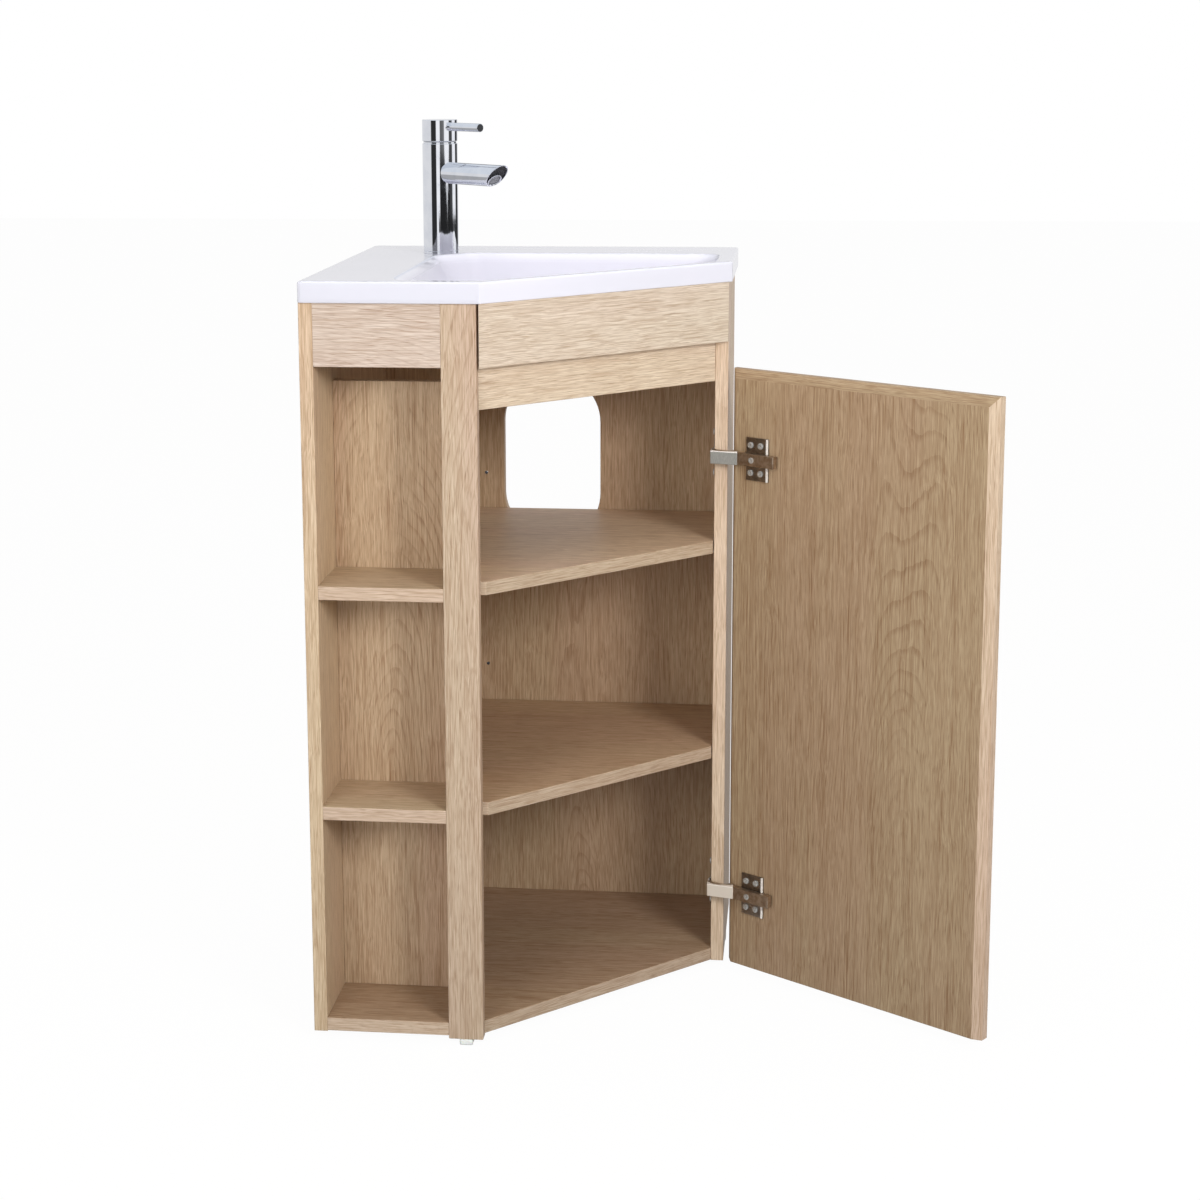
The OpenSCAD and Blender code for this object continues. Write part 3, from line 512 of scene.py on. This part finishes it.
# The casting ring by ring: the slab's lower edge, side and top edge, the rim, the lip, the bowl's
# wall and floor, the waste hole, and back up outside the bowl
slab_corner, edge, lip, low_edge = 3.5, 2.6, 4.0, 1.0
rows = [ring(outline(slab_sides, low_edge * (1 - s), slab_corner), rim_low + low_edge * (1 - c))
        for s, c in quarter(3)]
rows += [ring(outline(slab_sides, 0, slab_corner), z) for z in (832.0, 840.0)]
rows += [ring(outline(slab_sides, edge * (1 - c), slab_corner), rim_top - edge * (1 - s))
         for s, c in quarter(6)]
rows += [ring(outline(slab_sides, 7.0, 3.0), rim_top)]
rows += [ring(outline(bowl_sides, -lip - 1.2, 27.0), rim_top)]
fall = math.atan2(bowl_depth, bowl_taper)
for t in np.linspace(0, 1, 8):
    a = t * fall
    rows.append(ring(outline(bowl_sides, -lip + lip * 1.15 * math.sin(a), 26.0 - 2 * t),
                     rim_top - lip * 1.3 * (1 - math.cos(a))))
# At wall_share of the bowl's depth its wall begins to turn into the floor, over floor_run
wall_share, floor_run, drain_r, drain_low = 0.74, 30, 22.5, 764.0
for t in np.linspace(0.1, wall_share, 8):
    rows.append(ring(outline(bowl_sides, bowl_taper * t, 22 + 22 * t), rim_top - bowl_depth * t))
for t in np.linspace(0.0, 1.0, 9)[1:]:
    inset = bowl_taper * wall_share + floor_run * (1 - (1 - t) ** 1.35)
    height = rim_top - bowl_depth * (wall_share + 0.245 * (1 - (1 - t) ** 2.2))
    rows.append(ring(outline(bowl_sides, inset, 22 + 22 * wall_share + 6 * t), height))
last = outline(bowl_sides, bowl_taper * wall_share + floor_run, 44.3)
for t in np.linspace(0.2, 1, 6):
    rows.append(ring(last * (1 - t) + drain_r * t, 773.2 - 1.2 * t))
rows += [ring(drain_r, 768.0), ring(drain_r, drain_low)]
under = outline(bowl_sides, bowl_taper - bowl_wall + 12, 50)
for t in (0.3, 0.6, 1.0):
    rows.append(ring(drain_r * (1 - t) + under * t, drain_low))
for t in np.linspace(0.86, 0.3, 6):
    rows.append(ring(outline(bowl_sides, bowl_taper * t - bowl_wall, 30 + 20 * t),
                     rim_top - bowl_depth * t))
rows.append(ring(outline(bowl_sides, bowl_taper * 0.295 - bowl_wall - 0.5, 34), rim_low))


def gel_coat(place):
    """Milky white with a faint cool cast, a barely visible orange-peel and fine rubbing marks. The
    bowl is softer, and both the bowl and the edge that faces the room are painted a shade darker,
    as painted shade."""
    cloud = place.noise(7.0, 3.0, 0.5)
    facing = place.make("NewGeometry", None, None, "Normal")
    # Painted shade: the bowl's upturned faces below the rim are painted darker; there the finish is
    # also softer and less glossy
    shaded_bowl = facing.dot(UP).ramp(0.1, 0.35) * place.dot(UP).ramp(0.849, 0.838)
    # Painted shade: faces turned to the room are painted darker
    front_shade = facing.dot((0, -1, 0)).ramp(0.8, 1.0)
    peel = place.noise(260.0, 2.0, 0.5)
    wipe = place.point(place.dot(SLANT) * 900, place.dot((HALF, -HALF, 0)) * 60,
                       place.dot(UP) * 400).noise(1.0, 2.0, 0.6)
    milk = cloud.ramp(0.3, 0.7).mix(srgb(232, 232, 242), srgb(235, 234, 244))
    milk = shaded_bowl.mix(milk, srgb(219, 217, 228))
    return {
        "Base Color": front_shade.mix(milk, srgb(219, 219, 229)),
        "Roughness": 0.06 + wipe.ramp(0.5, 0.8) * 0.04 + cloud * 0.03 + shaded_bowl * 0.25,
        "Coat Weight": 0.5 - shaded_bowl * 0.42,
        "Normal": (peel * 0.6 + wipe * 0.15).bump(0.12, 0.00015),
    }


resin = finish("gel_coated_resin", gel_coat, {
    "Subsurface Weight": 0.06, "Subsurface Radius": (0.02, 0.02, 0.02),
    "Coat Roughness": 0.03, "Specular IOR Level": 0.5})
stand_for(skin("basin_casting", np.array(rows), close_rows=True), resin, "basin")

# ---- waste ----
# Chromed brass flange and body with a lift plug. A rubber seal and a plastic nut
# clamp them to the bowl from below; the plain tail takes the trap.


def turned(name, profile, centre, axis=UP, sides=96, shut=True):
    """A turned piece: profile points (radius, distance along the axis) in mm, carried round the
    axis. An open profile starts and ends on the axis, a shut one returns to its first point."""
    profile = np.array(profile, float)
    angle = np.linspace(0, 2 * math.pi, sides, endpoint=False)
    flat = np.stack([np.outer(profile[:, 0], np.cos(angle)), np.outer(profile[:, 0], np.sin(angle)),
                     np.repeat(profile[:, 1:], sides, 1)], -1)
    turn = np.array(Vector(UP).rotation_difference(Vector(axis)).to_matrix())
    return skin(name, (flat @ turn.T + np.array(centre)) * mm, close_rows=shut)


def joined(name, meshes, apart=False):
    """Several closed shells as one mesh, each kept whole, with a material of its own if apart."""
    work = bmesh.new()
    for i, mesh in enumerate(meshes):
        mesh.polygons.foreach_set("material_index", np.full(len(mesh.polygons), i * apart))
        work.from_mesh(mesh)
    out = bpy.data.meshes.new(name)
    work.to_mesh(out)
    work.free()
    return out


def plating(place):
    """Polished plate: almost a mirror, with soft smears left by wiping."""
    smear = place.noise(60.0, 4.0, 0.6)
    spots = place.noise(900.0, 2.0, 0.5)
    return {
        "Base Color": smear.ramp(0.35, 0.7).mix(srgb(236, 238, 242), srgb(226, 229, 235)),
        "Roughness": 0.035 + smear.ramp(0.45, 0.75) * 0.04 + spots.ramp(0.62, 0.75) * 0.03,
        "Normal": smear.bump(0.03, 0.0002),
    }


chrome = finish("chrome_plate", plating, {"Metallic": 1.0})
drop_at = (middle[0], middle[1], 772.0)


def rounded(points, radius, steps=4):
    """A profile whose inner corners are replaced by short arcs of about the given radius.
    Each arc is a quadratic curve from radius before the corner to radius after it, with one more
    point on either side, so that the straight stretches shade flat."""
    points = [np.array(p, float) for p in points]
    out = [points[0]]
    for before, corner, after in zip(points, points[1:], points[2:]):
        back, on = before - corner, after - corner
        back_long, on_long = np.linalg.norm(back), np.linalg.norm(on)
        r = min(radius, back_long * 0.38, on_long * 0.38)
        a, b = back / back_long * r, on / on_long * r
        t = np.linspace(0, 1, steps + 1)[:, None]
        out += [corner + a * 1.25, *(corner + (1 - t) ** 2 * a + t ** 2 * b), corner + b * 1.25]
    return out + [points[-1]]


def ridges(radius, low, high, pitch, depth):
    """A screw thread as rings: radius less depth at each root, radius at each crest."""
    turns = int((high - low) / pitch)
    marks = np.linspace(low, high, 2 * turns + 1)
    return [(radius - depth * (i % 2 == 0), z) for i, z in enumerate(marks)]


flange = rounded([(12, -72), (15.9, -72), (15.9, -40.5), (20.4, -40), (20.4, -39)], 0.5)
flange += ridges(20.4, -38, -9, 2.0, 0.8)
flange += rounded([(20.4, -8), (20.4, -0.2), (30.9, 0.1), (31.4, 1.4), (22.5, 3.0), (20.1, 2.6),
                   (20.0, -1.9), (15, -1.9), (15, -21.9), (12, -21.9)], 0.5)
stand_for(turned("waste_flange_turned", flange, drop_at), chrome, "waste_flange")
plug = rounded([(0, 3.6), (9, 3.5), (17, 3.0), (18.9, 2.0), (18.9, -1.9), (4.0, -2.0),
                (3.9, -35.9), (0, -35.9)], 0.5)
stand_for(turned("waste_plug_turned", plug, drop_at, shut=False), chrome, "waste_plug")


def black_rubber(place):
    """Moulded rubber with a talc bloom."""
    bloom = place.noise(120.0, 4.0, 0.6)
    return {
        "Base Color": bloom.ramp(0.4, 0.75).mix(srgb(30, 30, 31), srgb(58, 58, 60)),
        "Roughness": 0.6 + bloom * 0.25,
        "Normal": place.noise(1500.0, 2.0, 0.5).bump(0.3, 0.0001),
    }


def white_moulding(place):
    """Off-white moulded plastic with a fine grain."""
    flow = place.noise(40.0, 3.0, 0.5)
    return {
        "Base Color": flow.ramp(0.3, 0.7).mix(srgb(226, 227, 222), srgb(236, 236, 232)),
        "Roughness": 0.36 + flow * 0.15,
        "Normal": place.noise(1800.0, 2.0, 0.5).bump(0.2, 0.0001),
    }


rubber = finish("black_rubber", black_rubber)
moulding = finish("white_moulding", white_moulding, {"Subsurface Weight": 0.1})
eased("waste_seal", 0.0006, rubber)
eased("waste_nut", 0.0008, moulding)

# ---- tap ----
# Chromed brass mixer: a pillar on a threaded shank, a straight spout cut on the slant
# at its end, and a head with a pin lever, which turns on a brass spindle and is hollow
# over the cartridge. A washer and a nut pull it down on the basin.

# In mm: radii, heights over the foot, and how far spout and lever reach from the pillar's axis
foot_of_tap = np.array([99.5, -99.5, 850.0])
SPOUT = np.array([HALF, -HALF, 0.0])
ACROSS = np.array([HALF, HALF, 0])
pillar_r, groove_r, seam, tap_h = 20.9, 19.7, 131.0, 157.5
spout_z, spout_r, spout_root, spout_reach = 95.5, 12.75, 18.2, 124.0
lever_z, lever_reach = 149.6, 79.5

foot = rounded([(14.1, 0), (pillar_r, 0), (pillar_r, 2.95), (14.1, 2.95), (14.1, 0)], 0.35)
stand_for(turned("tap_base_ring_turned", foot, foot_of_tap), chrome, "tap_base_ring")
pillar = rounded([(10, -62), (13.9, -62), (13.9, -60)], 0.5) + ridges(14.0, -59.5, -10, 1.5, 0.7)
pillar += rounded([
    (13.9, -9), (13.9, 3.0), (pillar_r, 3.0), (pillar_r, seam - 1.5), (19.8, seam - 1.4),
    (groove_r, seam - 1.3), (groove_r, seam + 0.6), (17.6, seam + 0.6), (17.6, seam - 3),
    (16.1, seam - 3.2), (16.1, 71.0), (10, 71.0), (10, -62)], 0.3)
stand_for(turned("tap_body_turned", pillar, foot_of_tap), chrome, "tap_body")
cap = [(0, 146.5), (16.6, 146.5), (17, 146.1)] + rounded([
    (17, seam + 0.85), (groove_r, seam + 0.85), (19.8, seam + 1.5), (pillar_r, seam + 1.6),
    (pillar_r, tap_h), (0, tap_h)], 0.6)
stand_for(turned("tap_head_turned", cap, foot_of_tap, shut=False), chrome, "tap_head")
pin = rounded([(0, 16.2), (3.9, 16.2), (3.9, 20.4), (4.9, 20.6), (4.9, lever_reach),
               (0, lever_reach)], 0.5)
pin_at = foot_of_tap + (0, 0, lever_z)
stand_for(turned("tap_lever_turned", pin, pin_at, SPOUT, 64, shut=False), chrome, "tap_lever")


def bare_brass(place):
    """Turned brass without plating: patches of tarnish and fine marks of the tool."""
    tarnish = place.noise(150.0, 3.0, 0.6).ramp(0.35, 0.7)
    return {
        "Base Color": tarnish.mix(srgb(196, 160, 92), srgb(214, 182, 116)),
        "Roughness": 0.25 + place.noise(500.0, 3.0, 0.6) * 0.2,
    }


brass = finish("bare_brass", bare_brass, {"Metallic": 1.0})
spindle = rounded([(0, seam + 0.1), (4.9, seam + 0.1), (4.9, seam + 12), (0, seam + 12)], 0.6)
stand_for(turned("tap_spindle_turned", spindle, foot_of_tap, shut=False), brass, "tap_spindle")

angle = np.linspace(0, 2 * math.pi, 96, endpoint=False)


def piped(name, rows):
    """A piece of pipe along the spout, from rows of radius p, place x along the pipe, and depth. A
    row's points stand at radius p and angle a. Their place is x, or, where x is None, the slanted
    end plane's, which lies further out by the height p sin a, less depth times the root of two."""
    grid = []
    for p, x, depth in rows:
        across, height = p * np.cos(angle), p * np.sin(angle)
        if x is None:
            reach = spout_reach - spout_r + height - depth * math.sqrt(2)
        else:
            reach = np.full_like(angle, x)
        grid.append(reach[:, None] * SPOUT + across[:, None] * ACROSS
                    + (height + spout_z)[:, None] * np.array(UP) + foot_of_tap)
    return skin(name, np.array(grid) * mm)


wall_r = spout_r - 0.1
rows = [(0.0, spout_root, None), (wall_r, spout_root, None), (wall_r, 40.0, None),
        (wall_r, None, 1.2), (wall_r, None, 0.7)]
rows += [(wall_r - 0.5 * (1 - c), None, 0.5 * (1 - s)) for s, c in quarter(4)]
rows += [(12.0, None, 0.0), (11.75, None, 0.15), (11.7, None, 8.0), (0.0, None, 8.0)]
stand_for(piped("tap_spout_pipe", rows), chrome, "tap_spout")

# Aerator: a black housing in the slanted end, with a bright ring round a grey sieve low in it
forward_down = SPOUT * HALF - np.array([0, 0, HALF])
downhill = -SPOUT * HALF - np.array([0, 0, HALF])
mouth = foot_of_tap + SPOUT * (spout_reach - spout_r) + (0, 0, spout_z) + downhill * 7.3


def sieve_grid(place):
    """Grey plastic with round holes in a square grid, not cut but painted dark as painted shade."""
    across = place.maths("SINE", place.dot(tuple(ACROSS)) * 4200.0)
    down = place.maths("SINE", place.dot(tuple(downhill)) * 4200.0)
    holes = (across * down).ramp(0.1, 0.5)
    return {
        "Base Color": holes.mix(srgb(150, 152, 156), srgb(70, 71, 75)),
        "Roughness": 0.35 + place.noise(700.0, 2.0, 0.5) * 0.2,
        "Normal": (1 - holes).bump(0.4, 0.0002),
    }


def black_moulding(place):
    """Black plastic with a fine grain."""
    return {
        "Base Color": place.noise(300.0, 2.0, 0.5).mix(srgb(14, 14, 15), srgb(30, 30, 32)),
        "Roughness": 0.4 + place.noise(900.0, 2.0, 0.5) * 0.2,
    }


housing = piped("housing", [(p, None, depth) for p, depth in
                            ((0.0, 7.5), (11.6, 7.5), (11.6, 1.9), (0.0, 1.9))])
disc = rounded([(0, -5), (7.2, -5), (7.2, -0.6), (0, -0.9)], 0.3)
sieve = turned("sieve", disc, mouth, tuple(forward_down), 48, shut=False)
hoop = rounded([(7.3, -5), (9.0, -5), (9.0, 0.6), (8.2, 1.2), (7.3, 0.2), (7.3, -5)], 0.3)
collar = turned("collar", hoop, mouth, tuple(forward_down), 64)
aerator = stand_for(joined("tap_aerator_set", [sieve, collar, housing], apart=True),
                    finish("aerator_sieve", sieve_grid), "tap_aerator")
aerator.data.materials.append(chrome)
aerator.data.materials.append(finish("aerator_housing", black_moulding))


def grey_moulding(place):
    """Grey acetal with a matt sheen."""
    return {
        "Base Color": place.noise(90.0, 3.0, 0.5).mix(srgb(96, 98, 103), srgb(120, 122, 126)),
        "Roughness": 0.4 + place.noise(400.0, 2.0, 0.5) * 0.2,
        "Normal": place.noise(1500.0, 2.0, 0.5).bump(0.2, 0.0001),
    }


eased("tap_cartridge", 0.0005, finish("grey_moulding", grey_moulding))
eased("tap_gasket", 0.0004, rubber)
eased("tap_washer", 0.0005, rubber)
eased("tap_nut", 0.0008, brass)
tail = rounded([(0, -74), (3.4, -74), (4.4, -73.2), (4.4, -62.5)], 0.4)
tail += ridges(4.45, -62, -50, 1.0, 0.3) + [(4.4, -49), (4.4, -19.2), (0, -19.2)]
inlets = [turned("inlet", tail, foot_of_tap + ACROSS * aside, UP, 32, shut=False)
          for aside in (-5, 5)]
stand_for(joined("tap_inlets_turned", inlets), brass, "tap_inlets")

# ---- hinges ----
# Nickel-plated pressed steel: a cup sunk in the side panel, a curved link in a
# curved arm, and a winged plate screwed to the door, with its far edge turned up.


def nickel_plate(place):
    """Pressed steel under bright nickel: fine rolling lines and dull patches."""
    roll_lines = place.point(place.dot(UP) * 2600, place.dot(RIGHT) * 90,
                             place.dot(BACK) * 90).noise(1.0, 3.0, 0.6)
    dull = place.noise(140.0, 3.0, 0.6)
    return {
        "Base Color": dull.ramp(0.35, 0.7).mix(srgb(176, 172, 166), srgb(142, 136, 128)),
        "Roughness": 0.2 + roll_lines * 0.16 + dull.ramp(0.4, 0.7) * 0.1,
        "Normal": roll_lines.bump(0.12, 0.0001),
    }


def warm_reflection_plate(place):
    """Nickel, dulled and painted warm brown in patches: a painted reflection of the wood around it.
    """
    reflection_patches = place.noise(160.0, 3.0, 0.6).ramp(0.35, 0.7)
    return {
        "Base Color": reflection_patches.mix(srgb(196, 178, 156), srgb(164, 142, 120)),
        "Roughness": 0.26 + place.noise(800.0, 3.0, 0.6) * 0.2,
    }


def satin_zinc(place):
    """Satin zinc: a flatter grey that scatters more light than the plate. Its top faces are painted
    white, a painted highlight, and the lower hinge is painted paler all over, as painted light."""
    grain = place.point(place.dot(UP) * 300, place.dot(RIGHT) * 2200,
                        place.dot(BACK) * 2200).noise(1.0, 3.0, 0.6)
    # Painted light: the lower hinge is painted paler all over, and its top faces less white
    lower = place.dot(UP).ramp(0.5, 0.2)
    facing = place.make("NewGeometry", None, None, "Normal")
    # Painted highlight: faces turned upwards are painted white
    top = facing.dot(UP).ramp(0.15, 0.6) * (1 - lower * 0.6)
    metal = grain.ramp(0.3, 0.7).mix(srgb(182, 181, 174), srgb(157, 156, 150))
    metal = lower.mix(metal, srgb(240, 228, 212))
    return {
        "Base Color": top.mix(metal, srgb(255, 250, 244)),
        "Metallic": top.ramp(0.0, 1.0, 0.45, 0.0),
        "Roughness": 0.32 + grain * 0.2,
        "Normal": grain.bump(0.15, 0.0001),
    }


def painted_edge_highlight(place):
    """The plate's bent edge, painted near white: a painted highlight."""
    highlight_mottle = place.noise(400.0, 2.0, 0.5).ramp(0.3, 0.7)
    return {
        "Base Color": highlight_mottle.mix(srgb(255, 251, 246), srgb(226, 220, 212)),
        "Roughness": 0.3 + place.noise(900.0, 2.0, 0.5) * 0.2,
    }


nickel = finish("nickel_plate", nickel_plate, {"Metallic": 1.0})
nickel_warm_reflection = finish("nickel_warm_reflection", warm_reflection_plate, {"Metallic": 0.9})
satin = finish("satin_zinc", satin_zinc, {"Specular IOR Level": 0.6})
edge_highlight = finish("painted_edge_highlight", painted_edge_highlight, {"Metallic": 0.1})
pivot = np.array([446.0, -188.4])
leaf_along, leaf_out = np.array(LEAF[:2]), np.array(OUTER[:2])
# The door's inner corner, seen from the turning axis
corner_s, leaf_t = 14.0033, -4.388
hinge_levels = {"upper": 626.0, "lower": 103.5}


def on_leaf(s, t, z):
    """Point on the open door: s along it from the turning axis, t across it towards its outer
    face."""
    return (*(pivot + leaf_along * s + leaf_out * t), z)


def prism(piece, plan, low, high, metal):
    """Adds an upright prism to a piece: its plan's corners and its two heights are in mm."""
    work = bmesh.new()
    work.from_mesh(piece.data)
    weight = work.edges.layers.float["bevel_weight_edge"]
    rings = [[work.verts.new(Vector((*corner, z)) * mm) for corner in plan] for z in (low, high)]
    faces = [work.faces.new(ring) for ring in rings]
    for i in range(len(plan)):
        faces.append(work.faces.new((rings[0][i - 1], rings[0][i], rings[1][i], rings[1][i - 1])))
    for face in faces:
        face.material_index, face.smooth = len(piece.data.materials), True
        for edge in face.edges:
            edge[weight], edge.smooth = 1.0, False
    bmesh.ops.recalc_face_normals(work, faces=faces)
    work.to_mesh(piece.data)
    work.free()
    piece.data.materials.append(metal)


# The arm's flat-fronted cover stands before its curved end, and its back is an arc about the axis
# that passes clear of the panel when the door shuts. The plate's far edge is bent up, in two pieces
# above and below the arm
clear_r, bend = 20.6, np.radians(np.linspace(-55, -152, 9))
cover = pivot + np.vstack([[(-19.6, -9), (-19.6, -19), (11.8, -27.2)],
                           clear_r * np.stack([np.cos(bend), np.sin(bend)], -1)])
bent_up = [on_leaf(corner_s + s, leaf_t + t, 0)[:2]
           for s, t in ((46.6, -1), (46.6, -3.7), (48.8, -3.7), (48.8, -1))]
for height, level in hinge_levels.items():
    eased(f"{height}_hinge_cup", 0.0004, nickel)
    eased(f"{height}_hinge_link", 0.0006, satin)
    # The arm's body is painted warm brown: a painted reflection of the wood
    prism(eased(f"{height}_hinge_arm", 0.0008, nickel_warm_reflection), cover, level - 7.7, level + 7.2, satin)
    plate = eased(f"{height}_hinge_plate", 0.0004, nickel)
    # The bent-up edge, above and below the arm, is painted near white: a painted highlight
    prism(plate, bent_up, level + 7.0, level + 24.8, edge_highlight)
    prism(plate, bent_up, level - 24.8, level - 7.0, edge_highlight)

# ---- screws and small hardware ----
# Pan-head screws with a cross recess hold cups and plates; countersunk ones join the
# boards. Plastic feet are nailed under the panels, and steel pins carry the shelves.


def screw(place, way, head_r, head_h, shank_r, length, recess=0.6):
    """A screw: polar grid over a domed head whose height drops by the recess inside a cross,
    |x| or |y| under a fifth of the head and within 0.6 of its radius, then edge, underside
    and shank."""
    sides = 64
    angle = np.linspace(0, 2 * math.pi, sides, endpoint=False)
    rows = []
    for r in np.linspace(0, 1, 15):
        x, y = r * np.cos(angle), r * np.sin(angle)
        arm = (np.minimum(abs(x), abs(y)) < 0.2) & (np.maximum(abs(x), abs(y)) < 0.6)
        z = head_h * (1 - 0.35 * r ** 3) - arm * recess * head_h * 1.3 * (1 - 0.5 * r)
        rows.append(np.stack([x * head_r, y * head_r, z], -1))
    flat = lambda r, z: np.stack([r * np.cos(angle), r * np.sin(angle), np.full(sides, z)], -1)
    rows += [flat(head_r, 0.02), flat(shank_r, 0.0), flat(shank_r, -length + 0.3),
             flat(0.0, -length)]
    turn = np.array(Vector(UP).rotation_difference(Vector(way)).to_matrix())
    return skin("screw", (np.array(rows) @ turn.T + np.array(place)) * mm)


def zinc(place):
    """Bright zinc with a slight yellow cast and scratches."""
    marks = place.noise(700.0, 3.0, 0.6)
    return {
        "Base Color": marks.ramp(0.35, 0.7).mix(srgb(206, 206, 202), srgb(232, 231, 226)),
        "Roughness": 0.25 + marks * 0.2,
    }


steel = finish("zinc_plate", zinc, {"Metallic": 0.7})
# Heads lie on the cups' flanges, on the plates and on the arms
inward = tuple(-leaf_out) + (0,)
cup_screws = [screw((429.95, -171, z + d), (-1, 0, 0), 3.7, 1.6, 1.7, 11.0)
              for z in hinge_levels.values() for d in (-24, 24)]
stand_for(joined("hinge_cup_screws_turned", cup_screws), steel, "hinge_cup_screws")
plate_screws = [screw(on_leaf(corner_s + s, leaf_t - 2.0, z + d), inward, 3.7, 1.6, 1.75, 10.9)
                for z in hinge_levels.values() for s in (24, 38) for d in (-16, 16)]
stand_for(joined("hinge_plate_screws_turned", plate_screws), steel, "hinge_plate_screws")
clamp_screws = [screw(on_leaf(corner_s + 31, leaf_t - 2.7 - 7.6, z), inward, 3.5, 1.2, 1.95, 10.0)
                for z in hinge_levels.values()]
stand_for(joined("hinge_clamp_screws_turned", clamp_screws), steel, "hinge_clamp_screws")
eased("carcass_screws", 0.0004, steel)
eased("shelf_pins", 0.0005, steel)
eased("floor_glides", 0.002, moulding)
